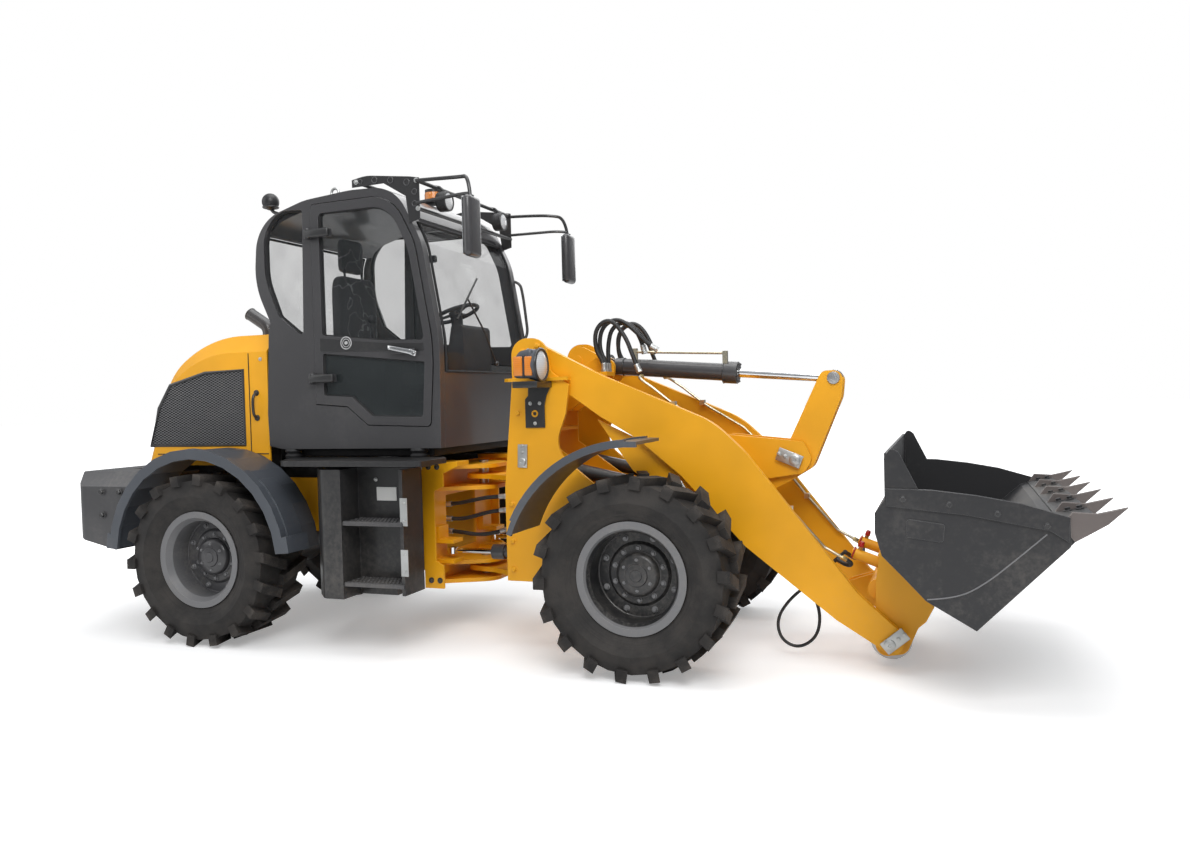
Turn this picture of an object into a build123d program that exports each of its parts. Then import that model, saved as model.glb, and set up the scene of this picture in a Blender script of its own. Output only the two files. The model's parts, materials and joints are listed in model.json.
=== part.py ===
from build123d import *
import os
from math import cos, hypot, radians, sin, tan

# An articulated wheel loader with a cab, lift arms, a Z-bar linkage, a quick coupler and a toothed bucket.
# Millimetres. +X is forward, +Y is left, +Z is up. Inside this file X is counted from the middle of the
# wheelbase; the origin of the finished part is under the middle of its box, on the ground.

# Driving dimensions
WHEELBASE = 2820
TRACK = 1530
TYRE_RADIUS = 537.5
TYRE_HALF = 202.5
FRONT_AXLE_X = WHEELBASE / 2
REAR_AXLE_X = -WHEELBASE / 2
AXLE_Z = TYRE_RADIUS
STEER_X = 110
COUNTERWEIGHT_REAR_X = -2534
TOOTH_TIP = (3677, 954)
MIDDLE_X = (TOOTH_TIP[0] + COUNTERWEIGHT_REAR_X) / 2

# Half widths, measured from the machine's middle plane
CAB_HALF = 620
HOOD_HALF = 600
FRAME_HALF = 450
ARM_OUTER = 410
ARM_INNER = 360
BUCKET_HALF = 1000
FENDER_OUTER = 950
REAR_FENDER_INNER = 606
FRONT_FENDER_INNER = 545

# Pins of the working arm, as (x, z)
BOOM_PIN = (650, 1730)
BUCKET_PIN = (2660, 151)
ROCKER_PIN = (2140, 1096)
ROCKER_TOP_PIN = (2357, 1557)
ROCKER_LOW_PIN = (1707, 835)
COUPLER_TOP_PIN = (2419, 351)
TILT_REAR_PIN = (1014, 1671)
LIFT_REAR_PIN = (600, 1110)
LIFT_FRONT_PIN = (1580, 900)
LIFT_Y = 290

# Pins of the steering cylinders, as (x, y, z) on the left side
STEER_FRAME_PIN = (850, 300, 545)
STEER_ROD_PIN = (30, 300, 545)

nodes = {}


# ---------------------------------------------------------------- helpers
def outline(corners, place):
    """Closed wire through corners given as (u, v) or (u, v, radius)."""
    stops = []
    for index, corner in enumerate(corners):
        u, v = corner[:2]
        radius = corner[2] if len(corner) > 2 else 0
        back = corners[index - 1]
        ahead = corners[(index + 1) % len(corners)]
        run_in, run_out = hypot(u - back[0], v - back[1]), hypot(ahead[0] - u, ahead[1] - v)
        way_in = ((u - back[0]) / run_in, (v - back[1]) / run_in)
        way_out = ((ahead[0] - u) / run_out, (ahead[1] - v) / run_out)
        bend = (way_out[0] - way_in[0], way_out[1] - way_in[1])
        size = hypot(*bend)
        if radius == 0 or size < 1e-6:
            stops.append(((u, v), None, (u, v)))
            continue
        cosine = hypot(way_in[0] + way_out[0], way_in[1] + way_out[1]) / 2
        tangent = radius * (size / 2) / cosine
        inset = radius / cosine - radius
        stops.append(((u - way_in[0] * tangent, v - way_in[1] * tangent),
                      (u + bend[0] / size * inset, v + bend[1] / size * inset),
                      (u + way_out[0] * tangent, v + way_out[1] * tangent)))
    edges = []
    for index, (start, middle, end) in enumerate(stops):
        if middle:
            edges.append(Edge.make_three_point_arc(place(*start), place(*middle), place(*end)))
        following = stops[(index + 1) % len(stops)][0]
        if hypot(following[0] - end[0], following[1] - end[1]) > 1e-3:
            edges.append(Edge.make_line(place(*end), place(*following)))
    return Wire(edges)


def along_y(corners, low, high):
    """A plate with an (x, z) outline between two Y values."""
    return extrude(Face(outline(corners, lambda x, z: (x, low, z))), amount=high - low, dir=(0, 1, 0))


def along_x(corners, low, high):
    """A block with a (y, z) outline between two X values."""
    return extrude(Face(outline(corners, lambda y, z: (low, y, z))), amount=high - low, dir=(1, 0, 0))


def along_z(corners, low, high):
    """A block with an (x, y) outline between two Z values."""
    return extrude(Face(outline(corners, lambda x, y: (x, y, low))), amount=high - low, dir=(0, 0, 1))


def block(x, y, z):
    """A box given by its (low, high) pair on each axis."""
    size = [high - low for low, high in (x, y, z)]
    middle = [(high + low) / 2 for low, high in (x, y, z)]
    return Pos(*middle) * Box(*size)


def bar(start, end, radius):
    """A round bar between two points."""
    reach = Vector(*end) - Vector(*start)
    return Solid.make_cylinder(radius, reach.length, Plane(origin=start, z_dir=reach))


def pin_y(place, radius, low, high):
    """A round bar along Y through an (x, z) place."""
    return bar((place[0], low, place[1]), (place[0], high, place[1]), radius)


def turned(profile, middle, outward=1):
    """A body of revolution about Y from (radius, offset) corners, offset counted outward."""
    x, y, z = middle
    wire = outline(profile, lambda radius, offset: (0, offset * outward, radius))
    return Pos(x, y, z) * revolve(Face(wire), axis=Axis.Y)


def both(shape):
    """The shape and its mirror image on the other side of the machine."""
    return [shape, mirror(shape, about=Plane.XZ)]


def tube(path, radius):
    """A round tube along a path of runs and arcs."""
    return sweep(Plane(origin=path @ 0, z_dir=path % 0) * Circle(radius), path=path)


def pipe(points, radius, bend):
    """A bent pipe through the points with one bend radius."""
    return tube(FilletPolyline(*points, radius=bend), radius)


def hose(name, points, radius):
    """A hose through the points; each arc is as large as its two runs allow."""
    stops = [Vector(*point) for point in points]
    radii = []
    for back, corner, ahead in zip(stops, stops[1:], stops[2:]):
        shorter = min((corner - back).length, (ahead - corner).length)
        radii.append(0.45 * shorter / tan(radians((corner - back).get_angle(ahead - corner)) / 2))
    path = FilletPolyline(*points, radius=radii)
    print(name, "length", round(path.length), "tightest bend", round(min(radii)))
    return tube(path, radius)


def polar(centre, radius, angle):
    """The (x, z) point at a radius and an angle in degrees from a centre."""
    return (centre[0] + radius * cos(radians(angle)), centre[1] + radius * sin(radians(angle)))


def arch(centre, inner, outer, start, end):
    """An (x, z) outline of a ring's sector, as a list of corners without radii."""
    count = 14
    angles = [start + (end - start) * step / count for step in range(count + 1)]
    return [polar(centre, outer, angle) for angle in angles] + [
        polar(centre, inner, angle) for angle in reversed(angles)]


def joined(shapes):
    """One solid from pieces that overlap or touch."""
    result = shapes[0]
    for shape in shapes[1:]:
        result = result + shape
    return result


def keep(name, *shapes):
    """Store a node made of one or more solids."""
    flat = []
    for shape in shapes:
        flat.extend(shape if isinstance(shape, list) else [shape])
    nodes[name] = [solid for shape in flat for solid in shape.solids()]


# ---------------------------------------------------------------- wheels and axles
RIM_PROFILE = [(0, 10), (160, 10, 8), (176, -6), (236, -6), (238, 122), (262, 161), (300, 161), (300, 154),
               (272, 147), (252, 118), (252, -118), (272, -147), (300, -154), (300, -161), (262, -161),
               (238, -122), (236, -30), (0, -30)]
TYRE_PROFILE = [(256, -118), (256, 118), (304, 152), (400, TYRE_HALF), (495, 180), (495, -180), (400, -TYRE_HALF),
                (304, -152)]
TYRE_FACETS = 24
LUGS_PER_SIDE = 18
LUG_ROOT = 468
LUG_TOP = 533.4
LUG_SHOULDER = (10, 70)
LUG_INNER = (-70, -10)
LUG_OVERLAP = 8


def tyre_casing():
    """The smooth casing as a faceted ring."""
    step = 360 / TYRE_FACETS
    rings = [[(*polar((0, 0), radius, step * k), offset) for radius, offset in TYRE_PROFILE]
             for k in range(TYRE_FACETS)]
    corners = [[(x, offset, z) for x, z, offset in ring] for ring in rings]
    faces = []
    for k, here in enumerate(corners):
        following = corners[(k + 1) % TYRE_FACETS]
        for i in range(len(here)):
            j = (i + 1) % len(here)
            faces.append(Face(Wire.make_polygon([here[i], here[j], following[j], following[i]])))
    return Solid(Shell(faces))


def lug(angle, side):
    """One slanted lug at an angle round the tyre, from its shoulder to just past the middle."""
    ahead = Vector(-sin(radians(angle)), 0, cos(radians(angle)))
    plane = Plane(origin=(0, 0, 0), x_dir=ahead, z_dir=(cos(radians(angle)), 0, sin(radians(angle))))
    plan = [(LUG_SHOULDER[0], side * TYRE_HALF), (LUG_SHOULDER[1], side * TYRE_HALF),
            (LUG_INNER[1], -side * LUG_OVERLAP), (LUG_INNER[0], -side * LUG_OVERLAP)]
    foot = Face(Wire.make_polygon([plane.from_local_coords((along, across, LUG_ROOT)) for along, across in plan]))
    return extrude(foot, amount=LUG_TOP - LUG_ROOT, dir=tuple(plane.z_dir))


def wheels():
    pitch = 360 / LUGS_PER_SIDE
    lugs = [lug(pitch * k + shift, side) for k in range(LUGS_PER_SIDE) for side, shift in ((1, 0), (-1, pitch / 2))]
    tyre = tyre_casing().fuse(*lugs)
    places = {"front": FRONT_AXLE_X, "rear": REAR_AXLE_X}
    for end, x in places.items():
        for side, sign in (("left", 1), ("right", -1)):
            middle = (x, sign * TRACK / 2, AXLE_Z)
            keep(f"rim_{end}_{side}", turned(RIM_PROFILE, middle, sign))
            keep(f"tyre_{end}_{side}", Pos(*middle) * tyre)


AXLE_PROFILE = [(0, 722), (120, 722), (120, 660), (150, 660), (150, 640), (85, 600), (85, 250), (130, 200),
                (175, 120), (175, -120), (130, -200), (85, -250), (85, -600), (150, -640), (150, -660),
                (120, -660), (120, -722), (0, -722)]


def axle(x):
    housing = turned(AXLE_PROFILE, (x, 0, AXLE_Z))
    pads = both(block((x - 90, x + 90), (300, 430), (AXLE_Z + 60, AXLE_Z + 100)))
    return joined([housing] + pads)


def axles():
    keep("front_axle", axle(FRONT_AXLE_X))
    keep("rear_axle", axle(REAR_AXLE_X))


# ---------------------------------------------------------------- rear half
RAIL_OUTLINE = [(-2330, 660), (-2330, 1000), (-66, 1000), (-66, 420), (-500, 420), (-700, 640), (-1250, 660),
                (-1250, 645), (-1570, 645), (-1570, 660)]
FRONT_STRIP = [(-86, 330), (46, 330), (46, 470), (-6, 500), (-6, 930, 20), (60, 960), (60, 1040),
               (161, 1084), (161, 1111), (-86, 1111)]


def hinge_plate(low, high, front, back_half):
    """A rear frame plate that reaches forward and ends round the steering pin."""
    nose = front - STEER_X
    corners = [(-66, -back_half), (STEER_X + nose, -nose, nose * 0.9), (STEER_X + nose, nose, nose * 0.9),
               (-66, back_half)]
    return along_z(corners, low, high)


def rear_frame():
    rails = both(along_y(RAIL_OUTLINE, 330, 350))
    strips = both(along_y(FRONT_STRIP, 436, FRAME_HALF))
    wall = block((-86, -66), (-436, 436), (330, 1084)) - block((-100, -50), (-200, 200), (520, 880))
    plates = [hinge_plate(low, high, 245, 300) for low, high in
              ((1050, 1075), (915, 940), (445, 470), (328, 353))]
    mounts = both(block((-86, 161), (300, FRAME_HALF), (1084, 1111)))
    rear_beam = block((-2330, -2230), (-330, 330), (700, 900))
    middle_beam = block((-1300, -1240), (-330, 330), (760, 960))
    brackets = [piece for low, high, foot, top in ((470, 495, 400, 470), (595, 620, 620, 700))
                for piece in both(joined([block((-66, 70), (240, 360), (low, high)),
                                          block((-66, -30), (240, 360), (foot, top))]))]
    shape = joined(rails + [wall] + plates + strips + mounts + [rear_beam, middle_beam] + brackets)
    for low, high in ((900, 1100), (320, 480)):
        shape = shape - bar((STEER_X, 0, low), (STEER_X, 0, high), 30.1)
    keep("rear_frame", shape)
    keep("hinge_pins", bar((STEER_X, 0, 900), (STEER_X, 0, 1090), 30), bar((STEER_X, 0, 315), (STEER_X, 0, 485), 30))


def engine():
    keep("engine_block", joined([block((-1960, -1250), (-300, 300), (1010, 1600)),
                                 block((-1230, -620), (-300, 300), (690, 1100)),
                                 block((-1250, -1230), (-300, 300), (1010, 1100))]))


COUNTERWEIGHT_SIDE = [(-2534, 724), (-2534, 988), (-2452, 1076), (-1900, 1076), (-1935, 1003), (-2035, 850),
                      (-2100, 660), (-2105, 574), (-2373, 632)]
COUNTERWEIGHT_PLAN = [(-2534, -680, 60), (-2400, -900, 60), (-1880, -900), (-1880, 900), (-2400, 900, 60),
                      (-2534, 680, 60)]
COUNTERWEIGHT_BACK = [(-900, 500), (-900, 985), (-800, 1076), (800, 1076), (900, 985), (900, 500)]


def counterweight():
    body = along_y(COUNTERWEIGHT_SIDE, -900, 900) & along_z(COUNTERWEIGHT_PLAN, 500, 1200)
    body = body & along_x(COUNTERWEIGHT_BACK, -2540, -1850)
    rails_gap = block((-2345, -1850), (-356, 356), (500, 1004))
    hood_gap = block((-2240, -1850), (-605, 605), (900, 1200))
    keep("counterweight", body - rails_gap - hood_gap)


GRILLE_OPENING = [(-2086, 1226), (-2005, 1480, 200), (-1900, 1640, 120), (-1600, 1712, 500), (-1284, 1722), (-1284, 1226)]


def hood_body(wall):
    """The hood's outer form, or its inner form when wall is its sheet's thickness."""
    corners = [(-1100, 1060), (-1100, 1944 - wall), (-1640, 1944 - wall, 850), (-1985 + wall, 1715 - wall / 2, 430),
               (-2225 + wall, 1060)]
    body = along_y(corners, -HOOD_HALF + wall, HOOD_HALF - wall)
    level = 1100
    edges = [edge for edge in body.edges()
             if abs(abs(edge.center().Y) - HOOD_HALF + wall) < 1 and edge.center().Z > level
             and edge.bounding_box().size.Y < 1 and edge.center().X < -1105]
    return chamfer(edges, 115)


def hood():
    shell = hood_body(0) - hood_body(12)
    shell = shell - block((-1115, -1050), (-560, 560), (1000, 1830)) - block((-2300, -1000), (-700, 700), (1000, 1100))
    shell = shell - along_y(GRILLE_OPENING, -700, 700)
    shell = shell - block((-2300, -2000), (-420, 420), (1200, 1600))
    keep("hood", shell)
    side = along_y([(-2080, 1231), (-2000, 1480), (-1896, 1633), (-1600, 1706), (-1290, 1716), (-1290, 1231)],
                   590, 596)
    rear = along_y([(-2164, 1206), (-2036, 1594), (-2028, 1592), (-2156, 1204)], -414, 414)
    keep("hood_grilles", both(side), rear)


def tank_steps():
    body = along_z([(-600, 470), (-600, 800, 60), (-480, 930, 60), (-345, 930), (-345, 750), (-95, 750),
                    (-95, 470)], 345, 1100)
    front = along_z([(-345, 735), (-345, 750), (60, 750), (60, 700), (30, 700), (30, 735)], 380, 1100)
    treads = [block((-345, 60), (735, 920), (low, low + 22)) for low in (420, 775)]
    cheek = block((40, 60), (740, 915), (380, 1100))
    deck = along_z([(-890, 560), (-890, 700, 60), (-760, 945, 120), (200, 945, 20), (200, 650), (140, 590),
                     (140, 560)], 1120, 1150)
    legs = block((-580, 60), (560, 750), (1095, 1125)) & block((-580, 50), (480, 745), (1000, 1125))
    shape = joined([body, front, cheek, deck, legs] + treads)
    keep("tank_steps", both(shape))


def guard(centre, inner, thick, span, lip_drop, inboard, ridges):
    """A tyre guard round the wheel: its skin, a lip round its outer edge and raised bands.

    ridges are (start angle, end angle, from y, to y, height).
    """
    skin = along_y(arch(centre, inner, inner + thick, *span), inboard, FENDER_OUTER)
    lip = along_y(arch(centre, inner - lip_drop, inner + thick, *span), FENDER_OUTER - 12, FENDER_OUTER + 8)
    bands = [along_y(arch(centre, inner + thick / 2, inner + thick + height, start, end), low, high)
             for start, end, low, high, height in ridges]
    return joined([skin, lip] + bands)


REAR_RIDGES = [(5, 176, 905, FENDER_OUTER + 8, 12), (5, 46, 770, 905, 16), (5, 13, 760, FENDER_OUTER + 8, 42),
               (168, 176, 903, FENDER_OUTER + 8, 34)]
FRONT_RIDGES = [(92, 154, 915, FENDER_OUTER + 8, 10), (92, 154, FRONT_FENDER_INNER, 590, 10)]


def fenders():
    rear = guard((REAR_AXLE_X - 5, 545), 650, 22, (5, 176), 30, REAR_FENDER_INNER, REAR_RIDGES)
    stay = block((-1455, -1365), (602, 640), (1180, 1205))
    keep("rear_fenders", both(rear + stay))
    front = guard((FRONT_AXLE_X + 20, 500), 735, 18, (87, 160), 12, FRONT_FENDER_INNER, FRONT_RIDGES)
    keep("front_fenders", both(front))


# ---------------------------------------------------------------- cab
CAB_OUTLINE = [(150, 1205), (160, 1700), (160, 1850, 900), (62, 2430, 500), (-110, 2768, 250), (-420, 2775, 800),
               (-760, 2745, 500), (-1120, 2640, 260), (-1155, 2250, 500), (-1042, 2000, 30), (-1060, 1960),
               (-1089, 1430), (-1083, 1225), (-984, 1205)]
DOOR_OPENING = [(-718, 2716, 30), (-720, 1478), (-490, 1460), (-345, 1345), (92, 1330, 30), (120, 1700),
                (118, 1850, 900), (20, 2430, 420), (-130, 2725, 250)]
QUARTER_OPENING = [(-775, 2690, 20), (-798, 1900, 20), (-985, 2045, 60), (-1075, 2280, 400), (-1075, 2560, 200),
                   (-960, 2695, 150)]


def grown(corners, change):
    """The same outline with every radius changed by an amount."""
    return [(corner[0], corner[1]) + ((corner[2] + change,) if len(corner) > 2 else ()) for corner in corners]


def cab():
    side = along_y(CAB_OUTLINE, CAB_HALF - 55, CAB_HALF)
    side = side - along_y(DOOR_OPENING, 400, 700) - along_y(QUARTER_OPENING, 400, 700)
    keep("cab_sides", both(side))
    half = CAB_HALF - 56
    skin = along_y(CAB_OUTLINE, -half, half)
    inner = along_y([(110, 1250), (118, 1850, 860), (25, 2415, 460), (-125, 2728, 210), (-420, 2735, 760),
                     (-755, 2705, 460), (-1085, 2610, 220), (-1115, 2255, 460), (-1005, 2010, 30), (-1045, 1960),
                     (-1049, 1250)], -half, half)
    ring = skin - inner
    roof = ring & block((-1300, 300), (-700, 700), (2560, 2900))
    roof = roof - block((-20, 300), (-520, 520), (2300, 2640))
    keep("cab_roof", roof)
    base = ring & block((-1300, 300), (-700, 700), (1100, 1655))
    floor = block((-1046, 108), (-560, 560), (1252, 1290))
    keep("cab_base", joined([base, floor]))
    glass_front = (along_y(grown(CAB_OUTLINE, -4), -half + 20, half - 20)
                   - along_y([(x - 12, z, *r) for x, z, *r in CAB_OUTLINE], -half, half))
    windshield = glass_front & block((-100, 300), (-700, 700), (1660, 2555))
    glass_rear = (along_y(CAB_OUTLINE, -half + 20, half - 20)
                  - along_y([(x + 12, z, *r) for x, z, *r in CAB_OUTLINE], -half, half))
    rear_glass = glass_rear & block((-1300, -900), (-700, 700), (1665, 2550))
    quarter = along_y(QUARTER_OPENING, CAB_HALF - 40, CAB_HALF - 34)
    keep("cab_glass", windshield, rear_glass, both(quarter))


def doors():
    leaf_outline = [(-712, 2710, 26), (-714, 1484), (-488, 1466), (-343, 1351), (88, 1336, 26), (114, 1700),
                    (112, 1850, 890), (14, 2428, 410), (-133, 2719, 244)]
    upper = [(-655, 2655, 30), (-655, 1905, 20), (-210, 1855, 20), (48, 1845, 30), (60, 1870, 5), (-30, 2400, 380),
             (-155, 2660, 200)]
    lower = [(-655, 1795, 15), (-655, 1535, 15), (-455, 1520, 15), (-310, 1400, 15), (40, 1390, 20), (62, 1720, 10)]
    for side, sign in (("left", 1), ("right", -1)):
        leaf = along_y(leaf_outline, CAB_HALF - 40, CAB_HALF + 6)
        leaf = leaf - along_y(upper, 400, 700) - along_y(lower, 400, 700)
        straps = [block((-722, -560), (CAB_HALF + 6, CAB_HALF + 26), (z - 22, z + 22)) for z in (2530, 1640)]
        knuckles = [bar((-722, CAB_HALF + 26, z - 30), (-722, CAB_HALF + 26, z + 30), 18) for z in (2530, 1640)]
        handle = block((-150, 10), (CAB_HALF + 6, CAB_HALF + 30), (1772, 1800))
        leaf = joined([leaf] + straps + knuckles + [handle])
        panes = [along_y(upper, CAB_HALF - 20, CAB_HALF - 14), along_y(lower, CAB_HALF - 20, CAB_HALF - 14)]
        if sign < 0:
            leaf = mirror(leaf, about=Plane.XZ)
            panes = [mirror(pane, about=Plane.XZ) for pane in panes]
        keep(f"door_{side}", leaf)
        keep(f"door_glass_{side}", panes)


SEAT_Z = 1560
WHEEL_CENTRE = (-62, 0, 2050)


def cab_inside():
    cushion = along_y([(-850, SEAT_Z), (-360, SEAT_Z), (-350, 1670, 50), (-400, 1690, 30), (-850, 1670, 20)],
                      -235, 235)
    backrest = along_y([(-880, 1640), (-780, 1640), (-800, 2350, 30), (-890, 2350, 30)], -240, 240)
    head = along_y([(-885, 2350), (-825, 2350), (-825, 2600, 20), (-895, 2600, 20)], -130, 130)
    pedestal = block((-790, -440), (-180, 180), (1292, SEAT_Z))
    keep("seat", joined([cushion, backrest, head, pedestal]))
    column = bar((0, 0, 1302), (-56, 0, 2036), 38)
    lean = Plane(origin=WHEEL_CENTRE, x_dir=(0.94, 0, 0.34), z_dir=(-0.34, 0, 0.94))
    wheel = lean * Torus(150, 13)
    spokes = [lean * Rot(0, 0, turn) * Pos(75, 0, 0) * Box(150, 30, 12) for turn in (90, 210, 330)]
    hub = lean * Cylinder(42, 34)
    dash = along_y([(-50, 1292), (95, 1292), (88, 1960, 30), (10, 1975, 30), (-50, 1640)], -190, 190)
    keep("steering_console", joined([dash, column, wheel, hub] + spokes))
    box = along_y([(-700, 1292), (-330, 1292), (-300, 1760, 40), (-700, 1800, 40)], -480, -285)
    lever = bar((-430, -380, 1740), (-452, -380, 1990), 13) + Pos(-453, -380, 2010) * Sphere(28)
    keep("control_console", box + lever)


def roof_gear():
    plate = along_y([(-400, 2785), (-400, 2830), (-300, 2848, 300), (0, 2812), (62, 2800), (62, 2560), (-10, 2540),
                     (-30, 2700), (-180, 2790)], 622, 628)
    bars = [bar((x, -625, z), (x, 625, z), 12) for x, z in ((-370, 2815), (45, 2785), (52, 2620))]
    keep("roof_rack", joined(both(plate) + bars))
    lamp = turned([(0, 30), (60, 30), (60, -30), (0, -30)], (0, 0, 0))
    round_lamp = Rot(0, 0, -90) * lamp
    lamps = [Pos(90, y, 2700) * round_lamp for y in (-380, 380)]
    rear_lamps = [Pos(-1170, y, 2810) * Sphere(55) for y in (-420, 420)]
    keep("roof_lamps", lamps + rear_lamps, bar((-200, 0, 2778), (-200, 0, 2870), 55))
    arms = [joined([pipe([(52, 640, 2780), (330, 655, 2765), (430, 720, 2755), (452, 731, 2640)], 11, 40),
                    pipe([(52, 640, 2650), (400, 700, 2660), (450, 728, 2660)], 10, 40)])]
    head = Pos(452, 731, 2462) * Box(70, 150, 345)
    keep("mirrors", both(joined(arms + [head])))


def exhaust():
    keep("exhaust_pipe", pipe([(-1560, 0, 1950), (-1560, 0, 2040), (-1720, 0, 2140)], 45, 80))


# ---------------------------------------------------------------- front half
TOWER_OUTLINE = [(480, 400), (480, 958, 30), (545, 1600), (545, 1838, 100), (760, 1838, 100), (790, 1640, 60),
                 (905, 1560), (880, 1390, 60), (800, 1180, 150), (1150, 900, 90), (1640, 800, 60), (1640, 640, 20),
                 (1290, 640, 30), (1290, 400)]


def front_frame():
    outer = both(along_y(TOWER_OUTLINE, 430, FRAME_HALF))
    inner = both(along_y([(505, 400), (505, 1300), (560, 1560), (700, 1560), (700, 1200), (1150, 880), (1640, 780),
                          (1640, 690), (1220, 690), (1220, 400)], 200, 215))
    flange = along_z([(489, 200), (489, 436), (530, 470), (905, 470), (905, 200)], 1585, 1605)
    flanges = both(flange - block((560, 905), (340, 425), (1500, 1700)))
    hose_shelf = both(block((1012, 1062), (98, 225), (1608, HOSE_FOOT_Z)))
    back = block((480, 500), (-430, 430), (400, 990)) - block((470, 510), (-160, 160), (500, 900))
    back = back - block((470, 510), (-405, 405), (490, 610))
    floor = block((480, 1260), (-430, 430), (400, 420)) - block((600, 1200), (-150, 150), (390, 430))
    mid = block((500, 700), (-215, 215), (1280, 1300))
    tilt_ears = both(along_y([(640, 1400), (640, 1560), (960, 1730, 60), (1070, 1700, 50), (1060, 1600, 50),
                              (760, 1400)], 75, 100))
    tilt_beam = block((600, 720), (-215, 215), (1400, 1470))
    front_wall = block((1180, 1240), (-430, 430), (660, 880))
    lugs = [along_z([(500, -300), (STEER_X + 130, -150, 40), (STEER_X - 95, -95, 85), (STEER_X - 95, 95, 85),
                     (STEER_X + 130, 150, 40), (500, 300)], low, low + 30) for low in (980, 385)]
    pins = both(pin_y(BOOM_PIN, 30, 352, 460)) + both(pin_y(LIFT_REAR_PIN, 25, 205, 440))
    pins.append(pin_y(TILT_REAR_PIN, 25, -100, 100))
    x, y, z = STEER_FRAME_PIN
    steer_lugs = [both(block((x - 19, x + 35), (y - 35, 435), (z + low, z + low + 18))) for low in (-45, 27)]
    steer_pins = both(bar((x, y, z - 45), (x, y, z + 45), 16))
    shape = joined(outer + [back, floor, front_wall] + inner + flanges + [mid, tilt_beam] + tilt_ears + hose_shelf + lugs)
    shape = joined([shape] + pins + steer_lugs[0] + steer_lugs[1] + steer_pins)
    for low, high in ((960, 1020), (370, 430)):
        shape = shape - bar((STEER_X, 0, low), (STEER_X, 0, high), 30.1)
    keep("front_frame", shape)


def headlights():
    lamp = joined([block((655, 800), (520, 680), (1585, 1760)), block((640, 800), (455, 660), (1540, 1580)),
                   block((620, 760), (451, 457), (1310, 1580))])
    keep("headlights", both(lamp))


# ---------------------------------------------------------------- working arm
ARM_OUTLINE = [(575, 1640, 70), (590, 1866, 80), (1080, 1612, 1200), (1740, 1330, 500), (1918, 1159, 400),
               (2503, 405), (2745, 190, 60), (2700, 70, 50), (2600, 133), (2389, 263), (1911, 640), (1551, 1031, 60),
               (1300, 1240), (1076, 1372, 120), (899, 1496)]


def arms():
    for side, sign in (("left", 1), ("right", -1)):
        arm = along_y(ARM_OUTLINE, ARM_INNER, ARM_OUTER)
        outer_lug = along_y([(1045, 1350), (1450, 1160), (1640, 960, 60), (1610, 830, 60), (1450, 880, 60),
                             (1250, 1060, 60)], 349, 361)
        inner_lug = along_y([(1490, 1080), (1570, 1080), (1640, 930, 50), (1600, 840, 50), (1510, 850, 40)], 222, 236)
        web = block((1495, 1565), (222, 361), (1062, 1090))
        arm = joined([arm, outer_lug, inner_lug, web])
        arm = arm - pin_y(BOOM_PIN, 30.1, 300, 500) - pin_y(BUCKET_PIN, 30.1, 300, 500)
        arm = arm - pin_y(LIFT_FRONT_PIN, 25.1, 200, 420)
        keep(f"boom_arm_{side}", arm if sign > 0 else mirror(arm, about=Plane.XZ))


ROCKER_OUTLINE = [(2290, 1600, 50), (2415, 1600, 60), (2400, 1450, 100), (2235, 1050, 90), (2120, 980, 120),
                  (1720, 775, 50), (1650, 800, 50), (1670, 890, 50), (2060, 1110, 80)]
ROCKER_FORK = 36
ROCKER_HALF = 60
LINK_PIN_RADIUS = 30


def rocker():
    """Two plates joined at the pivot, open above it for the rod's eye and behind it for the link."""
    plates = both(along_y(ROCKER_OUTLINE, ROCKER_FORK, ROCKER_HALF))
    web = along_y(ROCKER_OUTLINE, -ROCKER_FORK, ROCKER_FORK) & block((1930, 2230), (-60, 60), (950, 1190))
    body = joined([web, pin_y(ROCKER_PIN, 70, -ROCKER_HALF, ROCKER_HALF)] + plates)
    for place, radius in ((ROCKER_PIN, 32.1), (ROCKER_TOP_PIN, 25.1), (ROCKER_LOW_PIN, LINK_PIN_RADIUS + 0.1)):
        body = body - pin_y(place, radius, -100, 100)
    keep("rocker", body)
    keep("rocker_pin", pin_y(ROCKER_PIN, 32, -110, 110))


def boom_parts():
    tube = pin_y((1696, 1020), 75, -ARM_INNER, ARM_INNER)
    bracket = along_y([(1640, 1000), (1700, 1250, 60), (2187, 1200, 40), (2236, 1100, 60), (2190, 1020, 60),
                       (1700, 945, 60)], 68, 92)
    tube = joined([tube] + both(bracket)) - pin_y(ROCKER_PIN, 32.1, -100, 100)
    keep("boom_cross_tube", tube)
    keep("link_pin", pin_y(ROCKER_LOW_PIN, LINK_PIN_RADIUS, -64, 64))
    rear, front = ROCKER_LOW_PIN, COUPLER_TOP_PIN
    reach = hypot(front[0] - rear[0], front[1] - rear[1])
    across = ((front[1] - rear[1]) / reach * 30, -(front[0] - rear[0]) / reach * 30)
    bar_outline = [(rear[0] + across[0], rear[1] + across[1]), (front[0] + across[0], front[1] + across[1]),
                   (front[0] - across[0], front[1] - across[1]), (rear[0] - across[0], rear[1] - across[1])]
    link = joined([along_y(bar_outline, -22, 22), pin_y(rear, 50, -28, 28), pin_y(front, 46, -25, 25)])
    link = link - pin_y(rear, LINK_PIN_RADIUS + 0.1, -60, 60) - pin_y(front, 25.1, -60, 60)
    keep("tilt_link", link)
    pins = both(pin_y(BUCKET_PIN, 30, 290, 425)) + both(pin_y(BUCKET_PIN, 108, 252, 294))
    keep("bucket_pins", joined([pin_y(BUCKET_PIN, 72, -294, 294)] + pins))


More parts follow.
